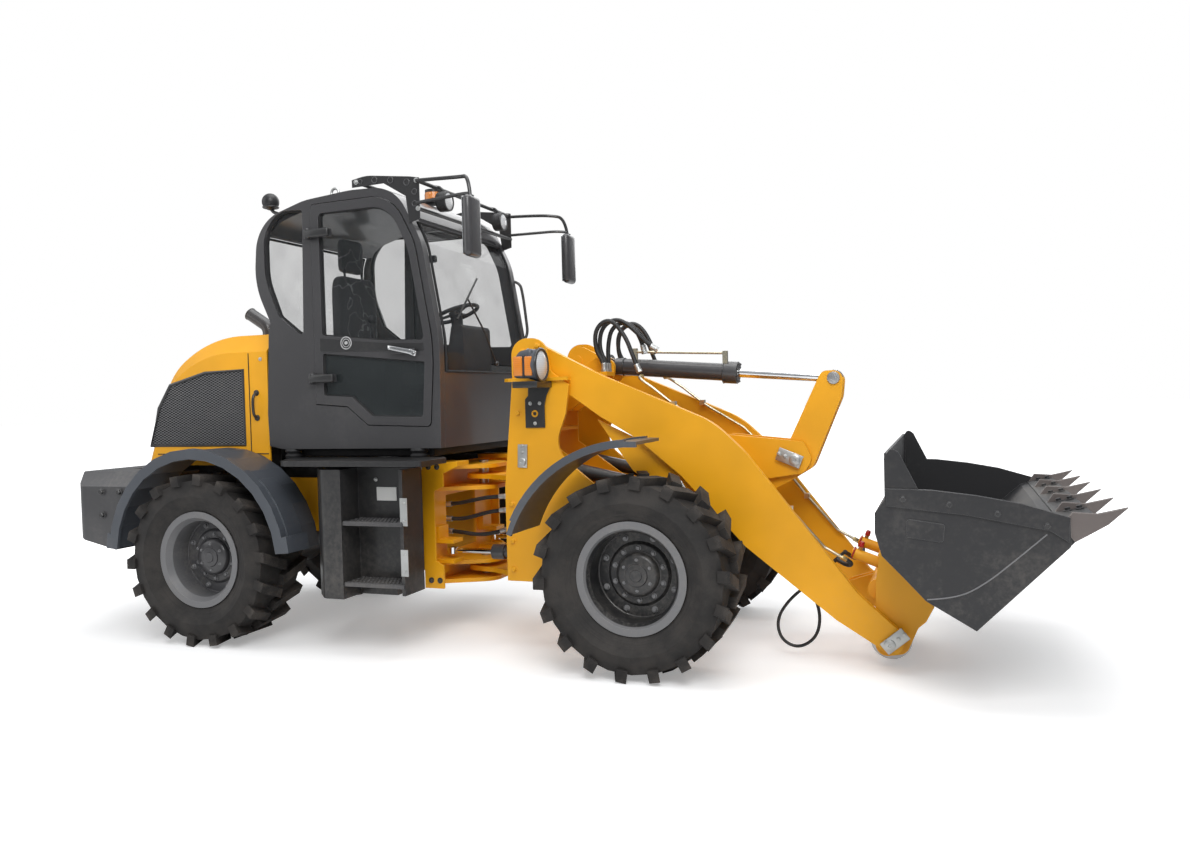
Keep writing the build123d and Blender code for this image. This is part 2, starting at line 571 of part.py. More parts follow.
def coupler():
    side = along_y([(2580, 60, 60), (2590, 480, 40), (2614, 622), (2880, 344), (2839, 265, 30), (2800, 230, 30),
                    (2740, 90, 60)], 300, 350)
    tube = pin_y((2600, 420), 55, -320, 320)
    ears = both(along_y([(2380, 300, 50), (2400, 400, 50), (2600, 470), (2620, 370), (2440, 290, 30)], 32, 52))
    face = along_y([(2600, 607), (2614, 622), (2880, 344), (2866, 330)], -350, 350)
    shape = joined(both(side) + [tube, face] + ears) - pin_y(BUCKET_PIN, 30.1, -400, 400)
    keep("coupler", shape - pin_y(COUPLER_TOP_PIN, 25.1, -100, 100))


BUCKET_SIDE = [(2679, 1028), (2885, 1022), (3073, 1000), (3255, 967), (3452, 908), (3455, 780), (3069, 385),
               (2855, 511), (2763, 610), (2663, 713), (2633, 820), (2634, 912), (2679, 975)]
BUCKET_SHELL = [(3455, 780), (3069, 385), (2855, 511), (2763, 610), (2663, 713), (2633, 820), (2634, 912), (2679, 975),
                (2679, 1190), (2693, 1190), (2693, 968), (2650, 905), (2648, 824), (2676, 722), (2772, 622),
                (2859, 535), (2985, 545), (3105, 615), (3237, 732), (3380, 866), (3560, 905), (3560, 893)]


BUCKET_PLATE = 14
BUCKET_SIDE_FACE = BUCKET_HALF - 12
BUCKET_HEEL = [(2905, 521), (2990, 530), (3112, 600), (3246, 717), (3372, 838), (3424, 788), (3067, 405)]
BUCKET_RIM_STRIP = [(2690, 946), (3034, 911), (3374, 848), (3446, 800), (3452, 908), (3255, 967), (3073, 1000),
                    (2885, 1022), (2683, 1027)]
BUCKET_BLANK_PLATE = [(2776, 888, 12), (2940, 866, 12), (2932, 784, 12), (2774, 803, 12)]
TEETH = 6


def bucket():
    inside = BUCKET_SIDE_FACE - BUCKET_PLATE
    sides = both(along_y(BUCKET_SIDE, inside, BUCKET_SIDE_FACE))
    shell = along_y(BUCKET_SHELL, -inside, inside) - along_y(BUCKET_HEEL, -inside, inside)
    drains = [bar((3246, y, 596), (3296, y, 546), 20) for y in (-600, 600)]
    shell = shell - drains[0] - drains[1]
    gussets = both(along_y([(2679, 1020), (2679, 1170), (2710, 1218, 20), (2745, 1193, 20), (2827, 1024)],
                           inside, BUCKET_SIDE_FACE))
    hooks = both(along_y([(2640, 640), (2663, 713), (2763, 610), (2855, 511), (2895, 480), (2862, 380)], 300, 350))
    strips = both(along_y(BUCKET_RIM_STRIP, BUCKET_SIDE_FACE, BUCKET_HALF))
    plates = both(along_y(BUCKET_BLANK_PLATE, BUCKET_SIDE_FACE, BUCKET_SIDE_FACE + 6))
    keep("bucket", joined([shell] + sides + gussets + hooks + strips + plates))
    tooth = along_y([(3420, 870), (3460, 930), (3560, 925), (3677, 954), (3600, 880), (3520, 830), (3470, 800)], -14, 14)
    spacing = 2 * (BUCKET_SIDE_FACE - 14) / (TEETH - 1)
    teeth = [Pos(0, -BUCKET_SIDE_FACE + 14 + spacing * index, 0) * tooth for index in range(TEETH)]
    keep("bucket_teeth", [one - nodes["bucket"][0] for one in teeth])


def ram(rear, front, pin_axis, barrel, rod, eye, width, pin, reach, rod_start):
    """A hydraulic cylinder from pin to pin: its barrel and its rod, as two solids."""
    length = (Vector(*front) - Vector(*rear)).length
    frame = Plane(origin=rear, x_dir=Vector(*front) - Vector(*rear), z_dir=pin_axis)
    lie = Rot(0, 90, 0)
    tube = Pos((reach + eye * 0.7) / 2, 0, 0) * lie * Cylinder(barrel, reach - eye * 0.7)
    head = Pos(reach - 40, 0, 0) * lie * Cylinder(barrel + 14, 80)
    tail = Cylinder(eye, width)
    bore = Pos((reach + eye * 1.6) / 2 + 5, 0, 0) * lie * Cylinder(rod + 0.5, reach - eye * 1.6 + 10)
    body = joined([tube, head, tail]) - bore - Cylinder(pin + 0.1, width * 2)
    shaft = Pos((rod_start + length - eye * 0.7) / 2, 0, 0) * lie * Cylinder(rod, length - eye * 0.7 - rod_start)
    end = Pos(length, 0, 0) * Cylinder(eye, width)
    moving = (shaft + end) - Pos(length, 0, 0) * Cylinder(pin + 0.1, width * 2)
    return frame * body, frame * moving


def rams():
    tilt = ram((TILT_REAR_PIN[0], 0, TILT_REAR_PIN[1]), (ROCKER_TOP_PIN[0], 0, ROCKER_TOP_PIN[1]), (0, 1, 0),
               52, 27, 46, 60, 25, 790, 560)
    keep("tilt_cylinder_barrel", tilt[0])
    keep("tilt_cylinder_rod", tilt[1])
    lift = ram((LIFT_REAR_PIN[0], LIFT_Y, LIFT_REAR_PIN[1]), (LIFT_FRONT_PIN[0], LIFT_Y, LIFT_FRONT_PIN[1]), (0, 1, 0),
               42, 24, 44, 60, 25, 880, 90)
    keep("lift_cylinder_barrels", both(lift[0]))
    keep("lift_cylinder_rods", both(lift[1]))
    steer = ram(STEER_FRAME_PIN, STEER_ROD_PIN, (0, 0, 1), 32, 16, 32, 40, 16, 532, 332)
    for side, index in (("left", 0), ("right", 1)):
        keep(f"steering_cylinder_barrel_{side}", both(steer[0])[index])
        keep(f"steering_cylinder_rod_{side}", both(steer[1])[index])


HOSE_RADIUS = 13
LOOP_HOSE_RADIUS = 9
PIPE_RADIUS = 8
HOSE_FOOT_Z = 1633
# Hoses that rise from the tower's shelf and bend over to the arms' and the tilt cylinder's pipes
TOWER_HOSES = [
    [(1038, -205, HOSE_FOOT_Z), (1038, -205, 1685), (985, -208, 1770), (990, -212, 1900), (1085, -214, 1960),
     (1180, -214, 1840), (1225, -214, 1710), (1262, -214, 1622)],
    [(1038, -165, HOSE_FOOT_Z), (1038, -165, 1685), (992, -163, 1780), (1012, -160, 1905), (1110, -155, 1955),
     (1215, -158, 1880), (1290, -140, 1790), (1350, -120, 1752)],
    [(1038, -125, HOSE_FOOT_Z), (1038, -125, 1685), (1035, -122, 1790), (1062, -118, 1905), (1160, -108, 1935),
     (1240, -104, 1840), (1262, -104, 1735)],
    [(1038, 130, HOSE_FOOT_Z), (1038, 130, 1685), (1010, 126, 1790), (1040, 118, 1915), (1140, 108, 1945),
     (1225, 104, 1850), (1262, 104, 1740)],
    [(1038, 205, HOSE_FOOT_Z), (1038, 205, 1685), (985, 208, 1765), (990, 212, 1890), (1085, 214, 1945),
     (1180, 214, 1835), (1225, 214, 1710), (1262, 214, 1622)],
]
# Hoses that cross the steering hinge on the right
FRAME_HOSES = [
    [(-84, -185, 818), (20, -185, 826), (140, -190, 852), (250, -192, 872), (360, -185, 876)],
    [(-84, -180, 728), (30, -182, 722), (150, -188, 752), (260, -190, 782), (360, -182, 790)],
    [(-84, -175, 650), (30, -178, 640), (150, -184, 628), (260, -186, 640), (360, -178, 668)],
]
ARM_PIPE = [(1285, -246, 1596), (1285, -337, 1592), (1377, -337, 1528), (1471, -337, 1452), (1540, -337, 1402),
            (1760, -337, 1270), (1990, -337, 1040), (2143, -337, 845), (2324, -337, 640), (2440, -337, 575)]
ARM_CLAMPS = [(1499, 1431), (1860, 1170), (2143, 845)]
COUPLER_HOSE = [(2420, -225, 600), (2330, -222, 520), (2230, -215, 420), (2110, -210, 320), (2035, -208, 200),
                (2060, -210, 85), (2160, -214, 45), (2260, -220, 115), (2285, -228, 240), (2250, -234, 360),
                (2290, -240, 480), (2380, -245, 560)]


def hoses():
    keep("boom_hoses", [hose("tower hose", points, HOSE_RADIUS) for points in TOWER_HOSES])
    keep("frame_hoses", [hose("frame hose", points, HOSE_RADIUS) for points in FRAME_HOSES])
    arm_pipe = pipe(ARM_PIPE, PIPE_RADIUS, 60)
    clamps = [block((x - 16, x + 16), (-ARM_INNER, -324), (z - 16, z + 16)) for x, z in ARM_CLAMPS]
    keep("boom_pipes", both(joined([arm_pipe] + clamps)))
    feed = pipe([(1182, -30, 1750), (1728, -30, 1722), (1734, -30, 1680)], PIPE_RADIUS, 14)
    ends = [block((1166, 1192), (-43, -17), (1690, 1772)), block((1720, 1748), (-44, -16), (1660, 1735))]
    keep("tilt_pipes", joined([feed] + ends) - nodes["tilt_cylinder_barrel"][0])
    keep("coupler_hose", hose("coupler hose", COUPLER_HOSE, LOOP_HOSE_RADIUS))


def build():
    for section in (wheels, axles, rear_frame, engine, counterweight, hood, tank_steps, fenders, cab, doors, cab_inside,
                    roof_gear, exhaust, front_frame, headlights, arms, rocker, boom_parts, coupler, bucket, rams,
                    hoses):
        section()
    os.makedirs("parts", exist_ok=True)
    for name, solids in nodes.items():
        export_step(Compound(solids).moved(Location((-MIDDLE_X, 0, 0))), f"parts/{name}.step")


build()
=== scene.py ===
"""Finishes, small parts, floor and lights of an articulated wheel loader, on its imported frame."""

import json
import logging
import math
from dataclasses import dataclass
from enum import Enum
from typing import Any, ClassVar, Iterable, Iterator, Sequence

import bmesh
import bpy
from mathutils import Matrix, Vector


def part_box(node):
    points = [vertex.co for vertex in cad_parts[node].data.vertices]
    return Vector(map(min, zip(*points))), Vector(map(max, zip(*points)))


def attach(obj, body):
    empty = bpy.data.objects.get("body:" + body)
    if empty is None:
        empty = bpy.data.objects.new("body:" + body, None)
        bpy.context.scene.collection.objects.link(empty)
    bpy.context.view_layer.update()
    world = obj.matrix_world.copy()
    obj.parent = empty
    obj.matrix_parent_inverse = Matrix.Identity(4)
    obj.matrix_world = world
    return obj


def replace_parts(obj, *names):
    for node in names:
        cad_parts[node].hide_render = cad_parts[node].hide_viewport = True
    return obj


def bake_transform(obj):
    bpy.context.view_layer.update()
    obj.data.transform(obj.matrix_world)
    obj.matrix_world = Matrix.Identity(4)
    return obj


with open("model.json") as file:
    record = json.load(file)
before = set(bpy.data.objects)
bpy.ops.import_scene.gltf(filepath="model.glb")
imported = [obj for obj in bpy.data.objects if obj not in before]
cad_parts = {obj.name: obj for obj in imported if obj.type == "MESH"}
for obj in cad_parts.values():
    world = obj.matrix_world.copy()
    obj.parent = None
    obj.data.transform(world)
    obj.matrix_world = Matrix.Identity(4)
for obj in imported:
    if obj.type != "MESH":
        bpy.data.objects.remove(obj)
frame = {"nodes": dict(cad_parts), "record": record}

LOG = logging.getLogger("wheel_loader")
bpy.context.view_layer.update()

Point = Sequence[float]
Colour = tuple[float, float, float]
Pairs = Sequence[tuple[float, float]]
Settings = dict[str, Any] | None
Inputs = dict[Any, Any] | None


# ---------------------------------------------------------------- shader graphs


class Value:
    """A number or colour that varies over a surface; operators on it add the maths nodes."""

    def __init__(self, tree: "Tree", socket: bpy.types.NodeSocket) -> None:
        """Wraps a node's output socket.

        Args:
            tree: the tree that the socket belongs to.
            socket: the output socket.
        """
        self.tree = tree
        self.socket = socket

    def math(self, operation: str, *others: Any, flip: bool = False) -> "Value":
        """Adds one Math node.

        Args:
            operation: the Math node's operation.
            others: further inputs, numbers or Values.
            flip: puts this value second, for reflected operators.

        Returns:
            The node's result.
        """
        inputs = [self, *others]
        if flip:
            inputs.reverse()
        node = self.tree.node("ShaderNodeMath", {"operation": operation}, dict(enumerate(inputs)))
        return Value(self.tree, node.outputs[0])

    def __add__(self, other: Any) -> "Value":
        """Sum."""
        return self.math("ADD", other)

    __radd__ = __add__

    def __sub__(self, other: Any) -> "Value":
        """Difference."""
        return self.math("SUBTRACT", other)

    def __rsub__(self, other: Any) -> "Value":
        """Reflected difference, so that 1 - mask works."""
        return self.math("SUBTRACT", other, flip=True)

    def __mul__(self, other: Any) -> "Value":
        """Product."""
        return self.math("MULTIPLY", other)

    __rmul__ = __mul__

    def __pow__(self, other: Any) -> "Value":
        """Power."""
        return self.math("POWER", other)

    def size(self) -> "Value":
        """Absolute value."""
        return self.math("ABSOLUTE")

    def wave(self) -> "Value":
        """Sine of this value, in radians."""
        return self.math("SINE")

    def step(self, low: float, high: float) -> "Value":
        """A soft step from 0 at low to 1 at high.

        Args:
            low: where the step starts.
            high: where it ends.

        Returns:
            The stepped value.
        """
        node = self.tree.node("ShaderNodeMapRange", {"interpolation_type": "SMOOTHSTEP"},
                              {"Value": self, "From Min": low, "From Max": high})
        return Value(self.tree, node.outputs["Result"])


class Tree:
    """A node tree, of a material or of the world."""

    def __init__(self, nodes: bpy.types.NodeTree) -> None:
        """Takes over a tree and clears it.

        Args:
            nodes: the tree.
        """
        self.tree = nodes
        self.tree.nodes.clear()

    def feed(self, socket: bpy.types.NodeSocket, value: Any) -> None:
        """Gives an input socket a link or a constant.

        Args:
            socket: the input.
            value: a Value, an output socket, a number or a tuple.
        """
        if isinstance(value, Value):
            self.tree.links.new(value.socket, socket)
        elif isinstance(value, bpy.types.NodeSocket):
            self.tree.links.new(value, socket)
        elif hasattr(socket.default_value, "__len__") and hasattr(value, "__len__"):
            width = len(socket.default_value)
            socket.default_value = (*value, 1.0)[:width]
        else:
            socket.default_value = value

    def node(self, kind: str, settings: Settings = None, inputs: Inputs = None) -> Any:
        """Adds a node.

        Args:
            kind: the node's type.
            settings: properties, set before the inputs.
            inputs: values or links by socket name or number.

        Returns:
            The new node.
        """
        node = self.tree.nodes.new(kind)
        for key, value in (settings or {}).items():
            setattr(node, key, value)
        for key, value in (inputs or {}).items():
            self.feed(node.inputs[key], value)
        return node

    def value(self, kind: str, output: str, settings: Settings = None,
              inputs: Inputs = None) -> Value:
        """Adds a node and wraps one of its outputs.

        Args:
            kind: the node's type.
            output: the output's name.
            settings: as for node().
            inputs: as for node().

        Returns:
            The wrapped output.
        """
        return Value(self, self.node(kind, settings, inputs).outputs[output])


class Graph(Tree):
    """The node tree of one material, with its main shader."""

    def __init__(self, name: str) -> None:
        """Starts a material with one Principled shader.

        Args:
            name: the material's name.
        """
        self.material = bpy.data.materials.new(name)
        self.material.use_nodes = True
        super().__init__(self.material.node_tree)
        self.shader = self.node("ShaderNodeBsdfPrincipled")
        self.node("ShaderNodeOutputMaterial", None, {"Surface": self.shader.outputs[0]})

    def place(self) -> Value:
        """The point on the object, in metres."""
        return self.value("ShaderNodeTexCoord", "Object")

    def axes(self, vector: Value) -> tuple[Value, Value, Value]:
        """A vector's three numbers."""
        outputs = self.node("ShaderNodeSeparateXYZ", None, {0: vector}).outputs
        return Value(self, outputs[0]), Value(self, outputs[1]), Value(self, outputs[2])

    def reach(self, centre: Point) -> Value:
        """The distance from an axle that runs along Y.

        Args:
            centre: a point on the axle.

        Returns:
            The distance in metres.
        """
        x, _, z = self.axes(self.place())
        along = x - centre[0]
        up = z - centre[2]
        return (along * along + up * up) ** 0.5

    def noise(self, scale: float, detail: float = 3.0, rough: float = 0.55) -> Value:
        """Cloudy noise from 0 to 1.

        Args:
            scale: lumps per metre.
            detail: octaves.
            rough: how strong the fine octaves are.

        Returns:
            The noise.
        """
        inputs = {"Vector": self.place(), "Scale": scale, "Detail": detail, "Roughness": rough}
        return self.value("ShaderNodeTexNoise", "Fac", {"noise_dimensions": "3D"}, inputs)

    def mix(self, factor: Any, first: Any, second: Any) -> Value:
        """Blends two colours.

        Args:
            factor: 0 gives the first, 1 the second.
            first: a colour or Value.
            second: a colour or Value.

        Returns:
            The blended colour.
        """
        node = self.node("ShaderNodeMix", {"data_type": "RGBA"}, {0: factor, 6: first, 7: second})
        return Value(self, node.outputs[2])

    def bump(self, height: Value, distance: float, strength: float = 1.0,
             under: Value | None = None) -> Value:
        """A bumped normal.

        Args:
            height: the relief from 0 to 1.
            distance: its depth in metres.
            strength: how much of it shows.
            under: a normal to add it to.

        Returns:
            The normal.
        """
        inputs = {"Height": height, "Distance": distance, "Strength": strength}
        if under is not None:
            inputs["Normal"] = under
        return self.value("ShaderNodeBump", "Normal", None, inputs)

    def rounded(self, radius: float) -> Value:
        """The normal of the surface with its edges rounded."""
        return self.value("ShaderNodeBevel", "Normal", {"samples": 4}, {"Radius": radius})

    def edges(self, radius: float) -> Value:
        """Finds the outer and inner edges.

        Args:
            radius: how far an edge reaches, in metres.

        Returns:
            1 on an edge, 0 on flat surfaces.
        """
        flat = self.value("ShaderNodeNewGeometry", "Normal")
        cosine = self.value("ShaderNodeVectorMath", "Value", {"operation": "DOT_PRODUCT"},
                            {0: self.rounded(radius), 1: flat})
        return (1.0 - cosine).step(0.01, 0.12)

    def upward(self) -> Value:
        """1 where the surface faces up, 0 where it doesn't."""
        _, _, up = self.axes(self.value("ShaderNodeNewGeometry", "Normal"))
        return up.step(0.2, 0.95)

    def set(self, **sockets: Any) -> None:
        """Sets the shader's sockets; an underscore in a name stands for a space."""
        for name, value in sockets.items():
            self.feed(self.shader.inputs[name.replace("_", " ")], value)


# ---------------------------------------------------------------- finishes


def toned(colour: Colour, share: float, lift: float = 0.0) -> Colour:
    """A colour made darker or paler by a share and a lift, up to white."""
    return tuple(min(1.0, part * share + lift) for part in colour)


@dataclass(frozen=True)
class Finish:
    """A surface finish that makes its material once."""

    label: str
    slot: str
    made: ClassVar[dict["Finish", bpy.types.Material]] = {}

    def paint(self, graph: Graph) -> None:
        """Builds the nodes in the material's graph; each finish has its own."""
        raise NotImplementedError

    def material(self) -> bpy.types.Material:
        """Gives the finish's material, made at its first use.

        Returns:
            The material.
        """
        if self not in Finish.made:
            graph = Graph(self.label)
            self.paint(graph)
            Finish.made[self] = graph.material
        return Finish.made[self]


@dataclass(frozen=True)
class Enamel(Finish):
    """Sprayed paint on steel: faint orange peel, dusty top faces, paler worn edges."""

    colour: Colour
    edge: Colour
    dust: Colour = (0.42, 0.38, 0.33)
    roughness: float = 0.34
    coat: float = 0.35
    grime: float = 0.25
    shade: float = 0.86
    edge_width: float = 0.004
    edge_wear: float = 0.55
    peel: float = 0.00012
    peel_scale: float = 240.0
    corner: float = 0.003

    def paint(self, graph: Graph) -> None:
        """Builds the nodes."""
        wide = graph.noise(1.7, 3.0)
        fine = graph.noise(38.0, 4.0, 0.6)
        _, _, height = graph.axes(graph.place())
        edge = graph.edges(self.edge_width)
        low = 1.0 - height.step(0.15, 1.3)
        settled = (wide * 0.6 + fine * 0.4).step(0.46, 0.72)
        dusty = (settled * (graph.upward() * 0.5 + low * 0.5 + 0.12)) * self.grime
        base = graph.mix(wide.step(0.35, 0.7), toned(self.colour, self.shade), self.colour)
        base = graph.mix(dusty, base, self.dust)
        base = graph.mix(edge * self.edge_wear, base, self.edge)
        graph.set(Base_Color=base, Roughness=self.roughness + fine * 0.10 + dusty * 0.5,
                  Normal=graph.bump(graph.noise(self.peel_scale, 2.0), self.peel, 0.5,
                                    graph.rounded(self.corner)),
                  Coat_Weight=(1.0 - dusty) * self.coat, Coat_Roughness=0.12)


@dataclass(frozen=True)
class Rubber(Finish):
    """Moulded tyre rubber round a wheel's axle, dusty on its lugs and in its grooves."""

    centre: Point
    radius: float
    dark: Colour = (0.012, 0.0108, 0.0103)
    pale: Colour = (0.022, 0.0195, 0.018)
    soil: Colour = (0.125, 0.105, 0.088)
    ring_turn: float = 230.0
    depth: float = 0.0014
    corner: float = 0.004

    def band(self, out: Value, low: float, high: float) -> Value:
        """A soft step between two shares of the tyre's radius."""
        return out.step(self.radius * low, self.radius * high)

    def paint(self, graph: Graph) -> None:
        """Builds the nodes."""
        out = graph.reach(self.centre)
        fine = graph.noise(150.0, 5.0, 0.7)
        wide = graph.noise(7.0, 4.0, 0.6)
        tread = self.band(out, 0.925, 0.985)
        wall = 1.0 - self.band(out, 0.80, 0.90)
        rings = ((out * self.ring_turn).wave() * 0.5 + 0.5).step(0.55, 0.9)
        ring_zone = self.band(out, 0.58, 0.60) * (1.0 - self.band(out, 0.66, 0.68))
        soil = (wide * 0.55 + fine * 0.45).step(0.40, 0.66)
        base = graph.mix(wide.step(0.3, 0.7), self.dark, self.pale)
        base = graph.mix(soil * (0.12 + tread * 0.34), base, self.soil)
        relief = fine * 0.35 + rings * ring_zone * 0.9 + wide * 0.4
        graph.set(Base_Color=base, Roughness=0.72 + fine * 0.2 - wall * 0.08,
                  Normal=graph.bump(relief, self.depth, 0.8, graph.rounded(self.corner)))


@dataclass(frozen=True)
class Metal(Finish):
    """Bare metal: chromed, turned or plated."""

    colour: Colour
    roughness: float = 0.12
    brushed: float = 0.08
    dull: float = 0.72
    depth: float = 0.0001
    corner: float = 0.0015

    def paint(self, graph: Graph) -> None:
        """Builds the nodes."""
        fine = graph.noise(90.0, 4.0, 0.6)
        wide = graph.noise(6.0, 2.0)
        cloud = wide.step(0.35, 0.75) * 0.6
        graph.set(Base_Color=graph.mix(cloud, self.colour, toned(self.colour, self.dull)),
                  Metallic=1.0, Roughness=self.roughness + fine * self.brushed,
                  Normal=graph.bump(fine, self.depth, 0.4, graph.rounded(self.corner)))


@dataclass(frozen=True)
class Glass(Finish):
    """Thin tinted window glass, made denser below a height as painted shade of the dark space seen
    through it.
    """

    colour: Colour
    alpha: float
    dense_below: float = 0.0
    dense: float = 0.78
    border: float = 0.01

    def paint(self, graph: Graph) -> None:
        """Builds the nodes."""
        haze = graph.noise(3.0, 2.0)
        smear = graph.noise(22.0, 4.0, 0.6)
        _, _, height = graph.axes(graph.place())
        # painted shade: below the given height the glass turns near-opaque and dark
        low = 1.0 - height.step(self.dense_below - self.border, self.dense_below + self.border)
        graph.set(Base_Color=graph.mix(haze, self.colour, toned(self.colour, 1.8, 0.01)),
                  Roughness=0.03 + smear * 0.04,
                  Alpha=self.alpha + haze.step(0.45, 0.8) * 0.06 + low * (self.dense - self.alpha),
                  IOR=1.5, Specular_IOR_Level=0.8)


@dataclass(frozen=True)
class Plastic(Finish):
    """Moulded plastic or rubber with a fine grain."""

    colour: Colour
    roughness: float = 0.5
    grain: float = 0.0003
    scale: float = 320.0
    corner: float = 0.0025

    def paint(self, graph: Graph) -> None:
        """Builds the nodes."""
        grain = graph.value("ShaderNodeTexVoronoi", "Distance", None,
                            {"Vector": graph.place(), "Scale": self.scale})
        wide = graph.noise(9.0, 3.0)
        pale = toned(self.colour, 1.35, 0.008)
        graph.set(Base_Color=graph.mix(wide.step(0.4, 0.75), self.colour, pale),
                  Roughness=self.roughness + wide * 0.12,
                  Normal=graph.bump(grain, self.grain, 0.6, graph.rounded(self.corner)))


@dataclass(frozen=True)
class RimPaint(Finish):
    """Grey wheel paint, with a darker dish inside a given radius."""

    colour: Colour
    dish: Colour
    centre: Point
    radius: float
    dust: Colour = (0.26, 0.24, 0.215)
    edge: Colour = (0.34, 0.34, 0.34)
    border: float = 0.002

    def paint(self, graph: Graph) -> None:
        """Builds the nodes."""
        out = graph.reach(self.centre)
        fine = graph.noise(60.0, 4.0, 0.6)
        wide = graph.noise(6.0, 3.0)
        dusty = (wide * 0.5 + fine * 0.5).step(0.45, 0.70) * 0.30
        flange = out.step(self.radius - self.border, self.radius + self.border)
        base = graph.mix(flange, self.dish, self.colour)
        base = graph.mix(dusty, base, self.dust)
        base = graph.mix(graph.edges(0.004) * 0.5, base, self.edge)
        graph.set(Base_Color=base, Roughness=0.34 + dusty * 0.6,
                  Normal=graph.bump(fine, 0.0002, 0.5, graph.rounded(0.003)))


@dataclass(frozen=True)
class ExpandedMesh(Finish):
    """Painted sheet of expanded metal: slanted strands round holes painted near-black as the shade
    behind the mesh.
    """

    colour: Colour
    pitch: float = 0.034
    # near-black hole colour: painted shade of the dark space behind the mesh, since the sheet itself
    # is solid
    hole: Colour = (0.006, 0.006, 0.007)
    dust: Colour = (0.30, 0.28, 0.25)
    depth: float = 0.004

    def paint(self, graph: Graph) -> None:
        """Builds the nodes."""
        x, y, z = graph.axes(graph.place())
        turn = 2 * math.pi / self.pitch
        rising = ((x + y) * turn * 0.5 + z * turn).wave()
        falling = ((x + y) * turn * 0.5 - z * turn).wave()
        hole = (rising * falling).size().step(0.22, 0.36)
        # painted shade in the holes
        base = graph.mix(hole, self.colour, self.hole)
        base = graph.mix(graph.noise(8.0).step(0.5, 0.8) * 0.25 * (1.0 - hole), base, self.dust)
        graph.set(Base_Color=base, Roughness=0.42 + hole * 0.4,
                  Normal=graph.bump(1.0 - hole, self.depth, 0.9))


@dataclass(frozen=True)
class Upholstery(Finish):
    """Woven seat cloth under a thin wrinkled cover, with a painted highlight along the cover's
    folds.
    """

    colour: Colour
    # pale grey painted highlight along the cover's folds
    cover: Colour = (0.46, 0.47, 0.49)
    thread: float = 0.004
    depth: float = 0.002
    sheen: float = 0.25

    def paint(self, graph: Graph) -> None:
        """Builds the nodes."""
        x, y, z = graph.axes(graph.place())
        turn = 2 * math.pi / self.thread
        weave = ((x + z) * turn).wave() * (y * turn).wave() * 0.5 + 0.5
        wrinkle = graph.noise(6.0, 2.0, 0.5)
        crease = (wrinkle - 0.5).size().step(0.0, 0.012)
        base = graph.mix(weave, self.colour, toned(self.colour, 1.9, 0.02))
        # painted highlight: pale narrow lines along the folds, where crease is near 0
        base = graph.mix((1.0 - crease) * 0.55, base, self.cover)
        graph.set(Base_Color=base, Roughness=0.62 - (1.0 - crease) * 0.3,
                  Normal=graph.bump(crease * 0.8 + weave * 0.2, self.depth, 0.7),
                  Sheen_Weight=self.sheen)


@dataclass(frozen=True)
class Lens(Finish):
    """Moulded lamp glass with fine vertical prisms."""

    colour: Colour
    ribs: float = 0.006
    depth: float = 0.0012
    coat: float = 0.8

    def paint(self, graph: Graph) -> None:
        """Builds the nodes."""
        x, y, z = graph.axes(graph.place())
        rib = ((x + y) * (2 * math.pi / self.ribs)).wave() * 0.5 + 0.5
        cross = (z * (2 * math.pi / self.ribs / 2)).wave() * 0.5 + 0.5
        base = graph.mix(rib * 0.6 + cross * 0.25, self.colour, toned(self.colour, 0.62, 0.01))
        graph.set(Base_Color=base, Roughness=0.10 + rib * 0.12,
                  Normal=graph.bump(rib * 0.7 + cross * 0.3, self.depth, 0.8),
                  Coat_Weight=self.coat)


YELLOW = Enamel("yellow enamel", "yellow_paint", (0.95, 0.435, 0.003), (0.97, 0.56, 0.05),
                roughness=0.44, coat=0.05, grime=0.07)
DARK_GREY = Enamel("dark grey enamel", "dark_grey_paint", (0.050, 0.049, 0.052),
                   (0.15, 0.15, 0.155), roughness=0.30, coat=0.5)
BLUE_GREY = Enamel("blue grey guard", "blue_grey_paint", (0.072, 0.081, 0.096),
                   (0.17, 0.185, 0.205), roughness=0.38, coat=0.2)
BLACK = Enamel("black enamel", "black_paint", (0.022, 0.022, 0.023), (0.11, 0.11, 0.115),
               roughness=0.36, grime=0.35)
GREY = Enamel("grey rim enamel", "grey_paint", (0.165, 0.165, 0.17), (0.26, 0.26, 0.27),
              roughness=0.36)
BUCKET_BLACK = Enamel("bucket enamel", "black_paint", (0.020, 0.020, 0.022),
                      (0.16, 0.16, 0.165), roughness=0.42, coat=0.15, grime=0.30)
WORN = Enamel("worn tooth steel", "black_paint", (0.150, 0.128, 0.120), (0.46, 0.42, 0.40),
              roughness=0.48, coat=0.0)
WHITE = Enamel("white enamel", "lamp_plastic", (0.72, 0.72, 0.70), (0.80, 0.80, 0.80), grime=0.3)
CHROME = Metal("chromed rod", "chromed_steel", (0.86, 0.87, 0.88), 0.05, 0.05)
PIN_STEEL = Metal("turned steel", "pin_steel", (0.55, 0.55, 0.55), 0.28, 0.12)
ZINC = Metal("zinc plate", "pin_steel", (0.60, 0.61, 0.60), 0.34, 0.16)
BRASS = Metal("yellow zinc fitting", "pipe_steel", (0.74, 0.58, 0.28), 0.26, 0.14)
PIPE_STEEL = Metal("plated pipe", "pipe_steel", (0.72, 0.66, 0.50), 0.24, 0.12)
WINDOW = Glass("window glass", "window_glass", (0.030, 0.034, 0.036), 0.13)
